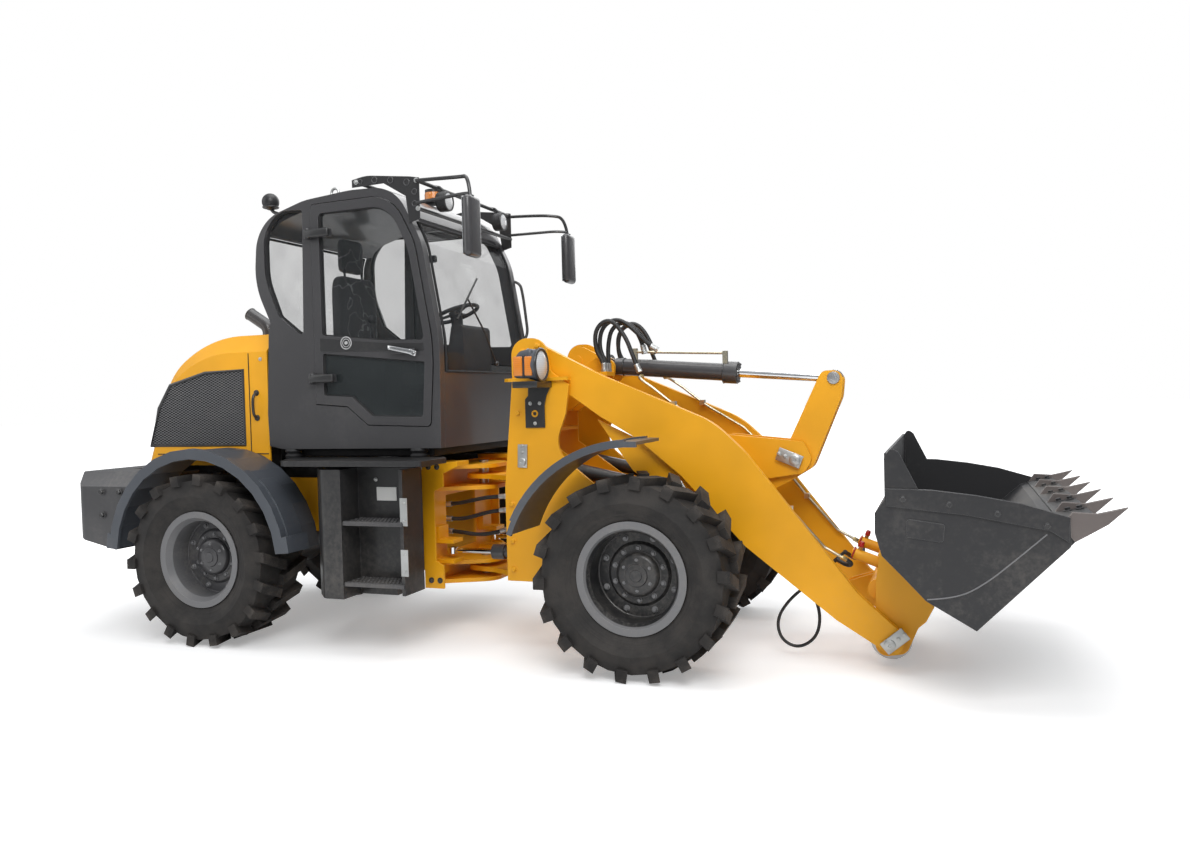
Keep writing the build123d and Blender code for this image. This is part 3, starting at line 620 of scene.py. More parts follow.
# below 1.82 m the door glass carries painted shade of the cab's dark footwell behind it
DOOR_WINDOW = Glass("door glass", "window_glass", (0.020, 0.024, 0.025), 0.17, 1.82)
HOSE = Plastic("hose cover", "black_rubber", (0.018, 0.018, 0.018), 0.42)
SEAL = Plastic("window seal", "black_rubber", (0.012, 0.012, 0.013), 0.6)
TRIM = Plastic("grained trim", "trim_plastic", (0.035, 0.035, 0.038), 0.55)
LAMP_BODY = Plastic("lamp housing", "lamp_plastic", (0.020, 0.020, 0.021), 0.32)
TANK_GREY = Enamel("tank enamel", "dark_grey_paint", (0.019, 0.019, 0.020), (0.10, 0.10, 0.105),
                   coat=0.18)
GRILLE = ExpandedMesh("expanded mesh", "dark_grey_paint", (0.17, 0.17, 0.175))
CLOTH = Upholstery("seat cloth", "trim_plastic", (0.040, 0.041, 0.045))
CLEAR_LENS = Lens("clear lens", "lamp_plastic", (0.82, 0.84, 0.86))
AMBER_LENS = Lens("amber lens", "lamp_plastic", (0.85, 0.26, 0.015))
RED_LENS = Lens("red lens", "lamp_plastic", (0.55, 0.015, 0.012))
LOCK_RING = Plastic("lock ring", "trim_plastic", (0.42, 0.42, 0.42), 0.3)
MIRROR = Metal("mirror glass", "chromed_steel", (0.90, 0.92, 0.93), 0.01, 0.01)
FRONT_DISH: Colour = (0.016, 0.016, 0.017)
REAR_DISH: Colour = (0.060, 0.060, 0.064)
FRONT_DISH_RADIUS = 0.252
REAR_DISH_RADIUS = 0.237
SLOT_FINISH = {finish.slot: finish for finish in (
    YELLOW, DARK_GREY, BLUE_GREY, BLACK, GREY, CHROME, PIN_STEEL, PIPE_STEEL, WINDOW, HOSE, TRIM,
    LAMP_BODY)}
NODE_FINISH = {"hood_grilles": GRILLE, "tank_steps": TANK_GREY,
               "door_glass_left": DOOR_WINDOW, "door_glass_right": DOOR_WINDOW,
               "bucket_teeth": WORN, "bucket": BUCKET_BLACK}


# ---------------------------------------------------------------- places and meshes

X_AXIS = (1, 0, 0)
Y_AXIS = (0, 1, 0)
Z_AXIS = (0, 0, 1)
SPLINE_ORDER = 3
SPLINE_STEPS = 10
SECTION_STEPS = 10
SAME_POINT = 1e-6
SAME_CORNER = 1e-5
SHEET_BEND = math.radians(40)
SHEET_SHARE = 0.12
SMOOTH_ANGLE = 34.0


class Side(Enum):
    """A side of the machine; the value is the sign of its Y."""

    LEFT = 1
    RIGHT = -1

    @property
    def word(self) -> str:
        """The side's name as the frame's nodes and bodies spell it."""
        return self.name.lower()


class End(Enum):
    """An end of the machine, as the frame's nodes and bodies spell it."""

    FRONT = "front"
    REAR = "rear"


class Plane(Enum):
    """The plane that an outline lies in."""

    XY = "xy"
    XZ = "xz"

    def point(self, u: float, v: float, depth: float) -> Point:
        """The point at (u, v) in the plane and a depth across it."""
        return (u, v, depth) if self is Plane.XY else (u, depth, v)


def centre(node: str) -> Vector:
    """The middle of a node's box."""
    low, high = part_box(node)
    return (low + high) / 2


MIDDLE_X = (centre("rim_front_left").x + centre("rim_rear_left").x) / 2


def at(x: float, y: float, z: float) -> Vector:
    """A point whose X is counted from the middle of the wheelbase."""
    return Vector((x + MIDDLE_X, y, z))


def route(*points: Point) -> list[Vector]:
    """A line's points, their X counted from the middle of the wheelbase."""
    return [at(*point) for point in points]


def aim(place: Point, facing: Point) -> Matrix:
    """The matrix that takes the origin to a place and +Z to a direction."""
    turn = Vector(facing).to_track_quat("Z", "Y").to_matrix().to_4x4()
    return Matrix.Translation(Vector(place)) @ turn


def around(count: int) -> list[float]:
    """Equal turns round a circle, from 0."""
    return [2 * math.pi * k / count for k in range(count)]


def fill_spline(curve: bpy.types.Curve, points: Iterable[Vector]) -> None:
    """Gives a curve one open NURBS spline that starts and ends at its outer control points.

    Args:
        curve: the curve.
        points: the control points.
    """
    controls = list(points)
    curve.dimensions = "3D"
    line = curve.splines.new("NURBS")
    line.points.add(len(controls) - 1)
    for entry, point in zip(line.points, controls):
        entry.co = (*point, 1.0)
    line.order_u = SPLINE_ORDER
    line.use_endpoint_u = True
    line.resolution_u = SPLINE_STEPS


def spline(points: Iterable[Vector]) -> list[Vector]:
    """Samples the smooth line that a route's points control.

    Args:
        points: the control points.

    Returns:
        Points along the line.
    """
    curve = bpy.data.curves.new("route", "CURVE")
    fill_spline(curve, points)
    holder = bpy.data.objects.new("route", curve)
    mesh = bpy.data.meshes.new_from_object(holder)
    line = [vertex.co.copy() for vertex in mesh.vertices]
    bpy.data.meshes.remove(mesh)
    bpy.data.objects.remove(holder)
    bpy.data.curves.remove(curve)
    return line


class Shape:
    """A mesh under construction, in metres on the frame's axes."""

    def __init__(self) -> None:
        """Starts empty."""
        self.mesh = bmesh.new()

    def add(self, part: bmesh.types.BMesh, place: Matrix | None = None) -> "Shape":
        """Adds a part and frees it.

        Args:
            part: the part.
            place: where it goes.

        Returns:
            This shape.
        """
        if place is not None:
            part.transform(place)
        data = bpy.data.meshes.new("part")
        part.to_mesh(data)
        part.free()
        self.mesh.from_mesh(data)
        bpy.data.meshes.remove(data)
        return self

    def lathe(self, profile: Pairs, place: Point, facing: Point = Z_AXIS,
              steps: int = 32) -> "Shape":
        """Adds a turned part.

        Args:
            profile: (radius, height) pairs; a closed one repeats its first.
            place: where height 0 lies.
            facing: the direction of height.
            steps: facets round it.

        Returns:
            This shape.
        """
        part = bmesh.new()
        turn = 2 * math.pi / steps
        rings = []
        for radius, height in profile:
            if radius < SAME_POINT:
                rings.append([part.verts.new((0, 0, height))] * steps)
            else:
                rings.append([part.verts.new((radius * math.cos(turn * k),
                                              radius * math.sin(turn * k), height))
                              for k in range(steps)])
        for low, high in zip(rings, rings[1:]):
            for k in range(steps):
                ahead = (k + 1) % steps
                corners = list(dict.fromkeys((low[k], low[ahead], high[ahead], high[k])))
                if len(corners) > 2:
                    part.faces.new(corners)
        bmesh.ops.remove_doubles(part, verts=part.verts, dist=SAME_POINT)
        bmesh.ops.recalc_face_normals(part, faces=part.faces)
        return self.add(part, aim(place, facing))

    def ring(self, place: Point, facing: Point, radius: float, thickness: float,
             steps: int = 32) -> "Shape":
        """Adds a round ring.

        Args:
            place: its middle.
            facing: its axis.
            radius: from its middle to the middle of its round section.
            thickness: the section's radius.
            steps: facets round it.

        Returns:
            This shape.
        """
        turns = [2 * math.pi * k / SECTION_STEPS for k in range(SECTION_STEPS + 1)]
        profile = [(radius + thickness * math.cos(a), thickness * math.sin(a)) for a in turns]
        return self.lathe(profile, place, facing, steps)

    def ball(self, place: Point, radius: float, steps: int = 20) -> "Shape":
        """Adds a ball.

        Args:
            place: its middle.
            radius: its radius.
            steps: facets round it.

        Returns:
            This shape.
        """
        turns = [math.pi * (k / SECTION_STEPS - 0.5) for k in range(SECTION_STEPS + 1)]
        profile = [(radius * math.cos(a), radius * math.sin(a)) for a in turns]
        return self.lathe(profile, place, Z_AXIS, steps)

    def bolt(self, place: Point, facing: Point, size: float,
             height: float | None = None) -> "Shape":
        """Adds a hexagon bolt head on its washer.

        Args:
            place: the middle of the washer's foot.
            facing: the way that the bolt's head points.
            size: the head's half width over its corners.
            height: the head's height, or five eighths of its width.

        Returns:
            This shape.
        """
        tall = height or size * 1.25
        foot = tall * 0.22
        washer = [(0, 0), (size * 1.4, 0), (size * 1.4, foot * 0.8), (size * 1.3, foot), (0, foot)]
        head = [(size, foot * 0.5), (size, tall * 0.85), (size * 0.82, tall), (0, tall)]
        return self.lathe(washer, place, facing, 16).lathe(head, place, facing, 6)

    def bolt_circle(self, place: Point, facing: Point, radius: float, count: int,
                    size: float) -> "Shape":
        """Adds a circle of bolts.

        Args:
            place: the circle's middle.
            facing: the way that the bolts' heads point, along Y or X.
            radius: the circle's radius.
            count: how many bolts it has.
            size: as for bolt().

        Returns:
            This shape.
        """
        across = Vector(X_AXIS) if abs(Vector(facing).x) < 0.5 else Vector(Y_AXIS)
        up = Vector(facing).cross(across)
        for k in range(count):
            angle = 2 * math.pi * (k + 0.5) / count
            aside, above = across * radius * math.cos(angle), up * radius * math.sin(angle)
            self.bolt(Vector(place) + aside + above, facing, size)
        return self

    def side_bolts(self, spots: Pairs, y: float, size: float,
                   height: float | None = None) -> "Shape":
        """Adds bolts that face +Y.

        Args:
            spots: their (x, z) places, X counted from the middle of the wheelbase.
            y: where their washers' feet lie.
            size: as for bolt().
            height: as for bolt().

        Returns:
            This shape.
        """
        for x, z in spots:
            self.bolt(at(x, y, z), Y_AXIS, size, height)
        return self

    def slab(self, corners: Pairs, low: float, high: float, plane: Plane, soft: float,
             segments: int) -> "Shape":
        """Adds an outline's slab with rounded edges.

        Args:
            corners: the outline in its plane, on the frame's own axes.
            low: where the slab starts across the plane.
            high: where it ends.
            plane: the outline's plane.
            soft: the radius of its edges.
            segments: facets in each rounded edge.

        Returns:
            This shape.
        """
        part = bmesh.new()
        rings = [[part.verts.new(plane.point(u, v, depth)) for u, v in corners]
                 for depth in (low, high)]
        part.faces.new(rings[0])
        part.faces.new(list(reversed(rings[1])))
        for k in range(len(corners)):
            ahead = (k + 1) % len(corners)
            part.faces.new((rings[0][k], rings[1][k], rings[1][ahead], rings[0][ahead]))
        bmesh.ops.recalc_face_normals(part, faces=part.faces)
        if soft:
            bmesh.ops.bevel(part, geom=part.edges[:] + part.verts[:], offset=soft,
                            segments=segments, profile=0.5, affect="EDGES", clamp_overlap=True)
        return self.add(part)

    def plate(self, corners: Pairs, low: float, high: float, soft: float = 0.0,
              segments: int = 2) -> "Shape":
        """Adds an upright plate along the machine.

        Args:
            corners: its (x, z) outline, X counted from the middle of the wheelbase.
            low: the Y where it starts.
            high: the Y where it ends.
            soft: the radius of its edges.
            segments: facets in each rounded edge.

        Returns:
            This shape.
        """
        outline = [(x + MIDDLE_X, z) for x, z in corners]
        return self.slab(outline, low, high, Plane.XZ, soft, segments)

    def box(self, low: Point, high: Point, soft: float = 0.003, segments: int = 2) -> "Shape":
        """Adds a box with rounded edges.

        Args:
            low: its lowest corner, X counted from the middle of the wheelbase.
            high: its highest corner.
            soft: the radius of its edges.
            segments: facets in each rounded edge.

        Returns:
            This shape.
        """
        (x, y, z), (x_far, y_far, z_far) = at(*low), at(*high)
        corners = [(x, y), (x_far, y), (x_far, y_far), (x, y_far)]
        return self.slab(corners, z, z_far, Plane.XY, soft, segments)

    def tube(self, line: Sequence[Vector], radius: float, sides: int = 12,
             closed: bool = False) -> "Shape":
        """Adds a round tube along a line of points.

        Args:
            line: the points.
            radius: the tube's radius.
            sides: facets round it.
            closed: whether the last point joins the first.

        Returns:
            This shape.
        """
        part = bmesh.new()
        count = len(line)
        ways = []
        for k in range(count):
            back = line[k - 1] if closed or k else line[k]
            ahead = line[(k + 1) % count] if closed or k < count - 1 else line[k]
            ways.append((ahead - back).normalized())
        up = ways[0].orthogonal().normalized()
        rings = []
        for point, way in zip(line, ways):
            up = (up - way * up.dot(way)).normalized()
            side = way.cross(up)
            rings.append([part.verts.new(point + (up * math.cos(a) + side * math.sin(a)) * radius)
                          for a in around(sides)])
        pairs = list(zip(rings, rings[1:]))
        if closed:
            pairs.append((rings[-1], rings[0]))
        for low, high in pairs:
            for k in range(sides):
                ahead = (k + 1) % sides
                part.faces.new((low[k], low[ahead], high[ahead], high[k]))
        if not closed:
            part.faces.new(rings[0])
            part.faces.new(list(reversed(rings[-1])))
        bmesh.ops.recalc_face_normals(part, faces=part.faces)
        return self.add(part)

    def mirrored(self) -> "Shape":
        """Adds the shape's mirror image on the machine's other side.

        Returns:
            This shape.
        """
        part = self.mesh.copy()
        part.transform(Matrix.Scale(-1, 4, Y_AXIS))
        bmesh.ops.reverse_faces(part, faces=part.faces)
        return self.add(part)

    def made(self, name: str, body: str | None, finish: Finish,
             sharp: float = SMOOTH_ANGLE) -> bpy.types.Object:
        """Turns the shape into a piece.

        Args:
            name: the piece's name.
            body: the body that it rides on, or None for one that rides on no body.
            finish: its finish.
            sharp: the angle in degrees from which an edge stays sharp.

        Returns:
            The piece.
        """
        data = bpy.data.meshes.new(name)
        self.mesh.to_mesh(data)
        self.mesh.free()
        data.polygons.foreach_set("use_smooth", [True] * len(data.polygons))
        data.set_sharp_from_angle(angle=math.radians(sharp))
        data.materials.append(finish.material())
        piece = bpy.data.objects.new(name, data)
        bpy.context.scene.collection.objects.link(piece)
        if body:
            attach(piece, body)
        return piece


def smooth_sheets(part: bmesh.types.BMesh) -> Iterator[list[bmesh.types.BMFace]]:
    """Groups a mesh's faces into sheets that bend gently.

    Args:
        part: the mesh, with its faces indexed.

    Returns:
        The faces of one sheet after another, in the order of their indices.
    """
    seen: dict[int, bool] = {}
    for first in part.faces:
        if first.index in seen:
            continue
        seen[first.index] = True
        sheet, queue = [], [first]
        while queue:
            face = queue.pop()
            sheet.append(face)
            for edge in face.edges:
                for other in edge.link_faces:
                    bend = face.normal.angle(other.normal, 0.0)
                    if other.index not in seen and bend < SHEET_BEND:
                        seen[other.index] = True
                        queue.append(other)
        yield sheet


def outlines(sheet: list[bmesh.types.BMFace]) -> Iterator[list[Vector]]:
    """Walks round the open edges of one sheet, from the lowest index on.

    Args:
        sheet: the sheet's faces.

    Returns:
        The corners of each closed line.
    """
    inside = {face.index: face for face in sheet}
    points = {vertex.index: vertex.co.copy() for face in sheet for vertex in face.verts}
    ways: dict[int, list[int]] = {}
    for face in sheet:
        for edge in face.edges:
            if sum(other.index in inside for other in edge.link_faces) == 1:
                one, two = (vertex.index for vertex in edge.verts)
                ways.setdefault(one, []).append(two)
                ways.setdefault(two, []).append(one)
    while ways:
        here, line = min(ways), []
        while here in ways:
            line.append(points[here])
            ahead = ways.pop(here)
            here = next((index for index in ahead if index in ways), -1)
        if len(line) > 3:
            yield line


def rim_loops(node: str) -> list[list[Vector]]:
    """The closed lines round the outward faces of a node's sheets.

    Args:
        node: the node's name.

    Returns:
        The corners of each line.
    """
    part = bmesh.new()
    part.from_mesh(frame["nodes"][node].data)
    bmesh.ops.remove_doubles(part, verts=part.verts, dist=SAME_CORNER)
    part.verts.index_update()
    part.faces.index_update()
    part.normal_update()
    middle = centre(node)
    middle.y = 0
    outward: list[tuple[float, list[bmesh.types.BMFace]]] = []
    for sheet in smooth_sheets(part):
        area = sum(face.calc_area() for face in sheet)
        facing, spot = Vector(), Vector()
        for face in sheet:
            facing += face.normal * face.calc_area()
            spot += face.calc_center_median() * (face.calc_area() / area)
        if facing.length > 0.5 * area and facing.dot(spot - middle) > 0:
            outward.append((area, sheet))
    widest = max(area for area, _ in outward)
    loops = [line for area, sheet in outward if area > SHEET_SHARE * widest
             for line in outlines(sheet)]
    LOG.info("%s has %d rims", node, len(loops))
    part.free()
    return loops


# ---------------------------------------------------------------- sub-assemblies


@dataclass
class WheelTrim:
    """The hub cover, nuts and valve of one wheel."""

    end: End
    side: Side
    hub_face: float = 0.010
    disc_face: float = -0.006
    cap_face: float = 0.053
    weld: float = 0.006
    hub_weld: float = 0.168
    rim_weld: float = 0.234
    valve_foot: Point = (0.222, 0, 0.06)
    valve_radius: float = 0.004
    valve_cap: Pairs = ((0, 0), (0.006, 0), (0.006, 0.012), (0, 0.014))
    cover: Pairs = (
        (0, 0.062), (0.030, 0.062), (0.034, 0.056), (0.058, 0.054), (0.062, 0.046), (0.098, 0.043),
        (0.112, 0.035), (0.118, 0.024), (0.118, 0.006), (0.126, 0.004), (0.126, 0))

    def build(self) -> None:
        """Makes the pieces."""
        name = f"{self.end.value}_{self.side.word}"
        body = f"wheel_{name}"
        out = Vector((0, self.side.value, 0))
        middle = centre(f"tyre_{name}")
        face, disc = middle + out * self.hub_face, middle + out * self.disc_face
        hub = Shape().lathe(self.cover, face, out, 48)
        hub.ring(disc, out, self.hub_weld, self.weld, 48)
        hub.ring(disc, out, self.rim_weld, self.weld, 64)
        hub.made(f"hub_cover_{name}", body, BLACK if self.end is End.FRONT else DARK_GREY)
        nuts = Shape().bolt_circle(face, out, radius=0.140, count=10, size=0.011)
        nuts.bolt_circle(disc, out, radius=0.205, count=8, size=0.013)
        nuts.bolt_circle(middle + out * self.cap_face, out, radius=0.082, count=6, size=0.007)
        nuts.made(f"wheel_nuts_{name}", body, GREY)
        foot = middle + Vector(self.valve_foot) + out * self.disc_face
        stem = [foot, foot + out * 0.035, foot + out * 0.060 + Vector((0.006, 0, 0))]
        valve = Shape().tube(stem, self.valve_radius, 8)
        valve.lathe(self.valve_cap, foot + out * 0.058, out, 12)
        valve.made(f"valve_{name}", body, BRASS)


@dataclass
class Hoses:
    """The hoses and their fittings, as smooth tubes along the same routes as their solids."""

    radius: float = 0.013
    loop_radius: float = 0.009
    foot: float = 1.633

    def arm_routes(self) -> list[list[Vector]]:
        """The two outer hoses, from the tower to the arms' pipes.

        Returns:
            The control points of each hose.
        """
        line = [(1.038, 0.205, self.foot), (1.038, 0.205, 1.685), (0.985, 0.208, 1.768),
                (0.990, 0.212, 1.895), (1.085, 0.214, 1.952), (1.180, 0.214, 1.838),
                (1.225, 0.214, 1.710), (1.262, 0.214, 1.622)]
        return [[at(x, side.value * y, z) for x, y, z in line] for side in Side]

    def tilt_routes(self) -> list[list[Vector]]:
        """The three inner hoses, from the tower to the tilt cylinder.

        Returns:
            The control points of each hose.
        """
        return [
            route((1.038, -0.165, self.foot), (1.038, -0.165, 1.685), (0.992, -0.163, 1.780),
                  (1.012, -0.160, 1.905), (1.110, -0.155, 1.955), (1.215, -0.158, 1.880),
                  (1.290, -0.140, 1.790), (1.350, -0.120, 1.752)),
            route((1.038, -0.125, self.foot), (1.038, -0.125, 1.685), (1.035, -0.122, 1.790),
                  (1.062, -0.118, 1.905), (1.160, -0.108, 1.935), (1.240, -0.104, 1.840),
                  (1.262, -0.104, 1.735)),
            route((1.038, 0.130, self.foot), (1.038, 0.130, 1.685), (1.010, 0.126, 1.790),
                  (1.040, 0.118, 1.915), (1.140, 0.108, 1.945), (1.225, 0.104, 1.850),
                  (1.262, 0.104, 1.740)),
        ]

    def hinge_routes(self) -> list[list[Vector]]:
        """The three hoses across the steering hinge.

        Returns:
            The control points of each hose.
        """
        return [
            route((-0.084, -0.185, 0.818), (0.020, -0.185, 0.826), (0.140, -0.190, 0.852),
                  (0.250, -0.192, 0.872), (0.360, -0.185, 0.876)),
            route((-0.084, -0.180, 0.728), (0.030, -0.182, 0.722), (0.150, -0.188, 0.752),
                  (0.260, -0.190, 0.782), (0.360, -0.182, 0.790)),
            route((-0.084, -0.175, 0.650), (0.030, -0.178, 0.640), (0.150, -0.184, 0.628),
                  (0.260, -0.186, 0.640), (0.360, -0.178, 0.668)),
        ]

    def fitting(self, shape: Shape, place: Vector, facing: Vector) -> None:
        """Adds a crimped sleeve and a swivel nut at a hose's end.

        Args:
            shape: what they are added to.
            place: the hose's end.
            facing: the way that points out of the hose there.
        """
        size = self.radius
        sleeve = [(0, -0.052), (size * 1.25, -0.052), (size * 1.35, -0.048), (size * 1.22, -0.040),
                  (size * 1.35, -0.032), (size * 1.22, -0.024), (size * 1.35, -0.016),
                  (size * 1.0, -0.012), (0, -0.012)]
        nut = [(0, -0.014), (size * 1.5, -0.014), (size * 1.5, 0.0), (0, 0.0)]
        shape.lathe(sleeve, place, facing, 20).lathe(nut, place, facing, 6)

    def bundle(self, name: str, routes: list[list[Vector]], node: str, ends: tuple[str, str],
               start: Vector, end: Vector) -> None:
        """Makes one group of hoses between two bodies, with its fittings.

        Args:
            name: the group's name.
            routes: the control points of each hose.
            node: the CAD node that it stands for.
            ends: the two bodies.
            start: not used.
            end: not used.
        """
        skin, first, last = Shape(), Shape(), Shape()
        for controls in routes:
            line = spline(controls)
            skin.tube(line, self.radius, 14)
            self.fitting(first, line[0], line[0] - line[1])
            self.fitting(last, line[-1], line[-1] - line[-2])
        piece = skin.made(name, None, HOSE)
        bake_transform(piece)
        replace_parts(piece, node)
        first.made(f"{name}_first_fittings", ends[0], ZINC)
        last.made(f"{name}_last_fittings", ends[1], ZINC)

    def loop(self) -> None:
        """Makes the free hose that hangs in a loop under the arm's coupler end."""
        line = route(
            (2.420, -0.225, 0.600), (2.330, -0.222, 0.520), (2.230, -0.215, 0.420),
            (2.110, -0.210, 0.320), (2.035, -0.208, 0.200), (2.060, -0.210, 0.085),
            (2.160, -0.214, 0.045), (2.260, -0.220, 0.115), (2.285, -0.228, 0.240),
            (2.250, -0.234, 0.360), (2.290, -0.240, 0.480), (2.380, -0.245, 0.560))
        curve = bpy.data.curves.new("coupler_loop", "CURVE")
        fill_spline(curve, line)
        curve.bevel_depth = self.loop_radius
        curve.bevel_resolution = 3
        curve.materials.append(HOSE.material())
        piece = bpy.data.objects.new("coupler_loop", curve)
        bpy.context.scene.collection.objects.link(piece)
        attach(piece, "boom")
        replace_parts(piece, "coupler_hose")
        run = spline(line)
        length = sum((b - a).length for a, b in zip(run, run[1:]))

    def build(self) -> None:
        """Makes every hose."""
        self.bundle("arm_hoses", self.arm_routes(), "boom_hoses", ("front_half", "boom"),
                    start=at(1.05, 0, 1.7), end=at(1.27, 0, 1.7))
        self.bundle("tilt_hoses", self.tilt_routes(), "boom_hoses",
                    ("front_half", "tilt_cylinder"), start=at(1.05, 0, 1.7), end=at(1.27, 0, 1.7))
        self.bundle("hinge_hoses", self.hinge_routes(), "frame_hoses",
                    ("rear_half", "front_half"), start=at(-0.06, 0, 0.75), end=at(0.34, 0, 0.75))
        self.loop()


@dataclass
class ArmEnd:
    """The ends of the arms' pipes and hoses, and the coupler's lock cylinders."""

    pipe_end: Point = (2.440, 0.337, 0.575)
    pipe_way: Point = (0.87, 0, -0.49)
    pipe_start: Point = (1.285, 0.250, 1.596)
    hose: float = 0.012
    lock: Point = (2.560, 0.215, 0.560)
    lock_ring: Point = (2.465, 0.215, 0.594)
    slope: tuple[float, float] = (0.94, 0.34)
    port_shifts: tuple[float, ...] = (0.075, -0.070)
    end_nut: Pairs = ((0, -0.03), (0.014, -0.03), (0.014, 0), (0.011, 0.004), (0, 0.004))
    start_nut: Pairs = ((0, -0.012), (0.0135, -0.012), (0.0135, 0.012), (0, 0.012))
    port: Pairs = ((0, 0.020), (0.013, 0.020), (0.013, 0.046), (0, 0.046))
    cap: Pairs = ((0, 0.078), (0.010, 0.076), (0.014, 0.068), (0.015, 0.046), (0, 0.046))
    ram: Pairs = ((0, -0.11), (0.020, -0.11), (0.030, -0.10), (0.030, 0.09), (0.022, 0.10),
                  (0, 0.10))

    def pipe_nuts(self) -> None:
        """Makes the nuts at both ends of the arms' pipes."""
        nuts = Shape()
        for side in Side:
            x, y, z = self.pipe_end
            nuts.lathe(self.end_nut, at(x, side.value * y, z), self.pipe_way, 6)
            x, y, z = self.pipe_start
            nuts.lathe(self.start_nut, at(x, side.value * y, z), (0, side.value, 0), 6)
        nuts.made("arm_pipe_nuts", "boom", BRASS)

    def lock_ports(self) -> None:
        """Makes the ports on the lock cylinders and their plastic caps."""
        ports, caps = Shape(), Shape()
        run, rise = self.slope
        x, y, z = self.lock
        for side in Side:
            for back in self.port_shifts:
                foot = at(x - run * back, side.value * y, z + rise * back)
                ports.lathe(self.port, foot, (rise, 0, run), 6)
                caps.lathe(self.cap, foot, (rise, 0, run), 20)
        ports.made("coupler_lock_ports", "bucket", BRASS)
        caps.made("coupler_lock_caps", "bucket", RED_LENS)

    def hose_ends(self) -> None:
        """Makes the short hoses from the pipes' ends to the ends of the free loop."""
        ends = Shape()
        ends.tube(spline(route((2.440, -0.337, 0.575), (2.464, -0.335, 0.561),
                               (2.456, -0.305, 0.540), (2.420, -0.270, 0.540),
                               (2.380, -0.245, 0.560))), self.hose, 12)
        ends.tube(spline(route((2.440, 0.337, 0.575), (2.468, 0.330, 0.560),
                               (2.480, 0.240, 0.532), (2.472, 0.050, 0.522),
                               (2.452, -0.130, 0.552), (2.420, -0.225, 0.600))), self.hose, 12)
        ends.made("arm_hose_ends", "boom", HOSE)

    def lock_cylinders(self) -> None:
        """Makes the lock cylinders and their coloured rings."""
        ram, rings = Shape(), Shape()
        run, rise = self.slope
        for side in Side:
            x, y, z = self.lock
            ram.lathe(self.ram, at(x, side.value * y, z), (run, 0, -rise), 28)
            x, y, z = self.lock_ring
            rings.ring(at(x, side.value * y, z), (run, 0, -rise), 0.032, 0.005, 28)
        ram.made("coupler_lock_cylinders", "bucket", YELLOW)
        rings.made("coupler_lock_rings", "bucket", RED_LENS)

    def build(self) -> None:
        """Makes the pieces."""
        self.pipe_nuts()
        self.lock_ports()
        self.hose_ends()
        self.lock_cylinders()


@dataclass
class Windows:
    """Rubber seals round every pane, the wiper and the grab bar beside the windshield."""

    seal: float = 0.009
    wiper_foot: tuple[float, float] = (0.12, 1.72)
    wiper_tip: tuple[float, float] = (-0.22, 2.12)
    blade: Point = (0.004, 0.30, 0.28)

    def seals(self, node: str, body: str) -> None:
        """Makes the seals of one node's panes.

        Args:
            node: the panes' node.
            body: the body that it rides on.
        """
        shape = Shape()
        for line in rim_loops(node):
            shape.tube(line, self.seal, 6, closed=True)
        shape.made(f"{node}_seals", body, SEAL)

    def wiper(self) -> None:
        """Makes the wiper on the windshield."""
        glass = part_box("cab_glass")[1].x
        foot = Vector((glass + 0.004, *self.wiper_foot))
        tip = Vector((glass - 0.014, *self.wiper_tip))
        middle = (foot + tip) / 2 + Vector((0.016, 0, 0))
        shape = Shape().tube([foot, middle, tip], 0.006, 8)
        blade = Vector(self.blade)
        shape.tube([tip - blade * 0.5 + Vector((0.006, 0, 0)),
                    tip + blade * 0.5 + Vector((-0.012, 0, 0))], 0.007, 6)
        shape.ball(foot, 0.018)
        shape.made("wiper", "rear_half", BLACK)

    def grab_bar(self) -> None:
        """Makes the bent bar at the cab's front corner."""
        bar = spline(route((0.030, 0.622, 2.325), (0.110, 0.640, 2.320), (0.132, 0.645, 2.220),
                           (0.150, 0.645, 2.060), (0.166, 0.640, 1.930), (0.140, 0.622, 1.900)))
        Shape().tube(bar, 0.010, 10).made("grab_bar", "rear_half", BLACK)

    def build(self) -> None:
        """Makes the pieces."""
        self.seals("cab_glass", "rear_half")
        for side in Side:
            self.seals(f"door_glass_{side.word}", f"door_{side.word}")
        self.wiper()
        self.grab_bar()


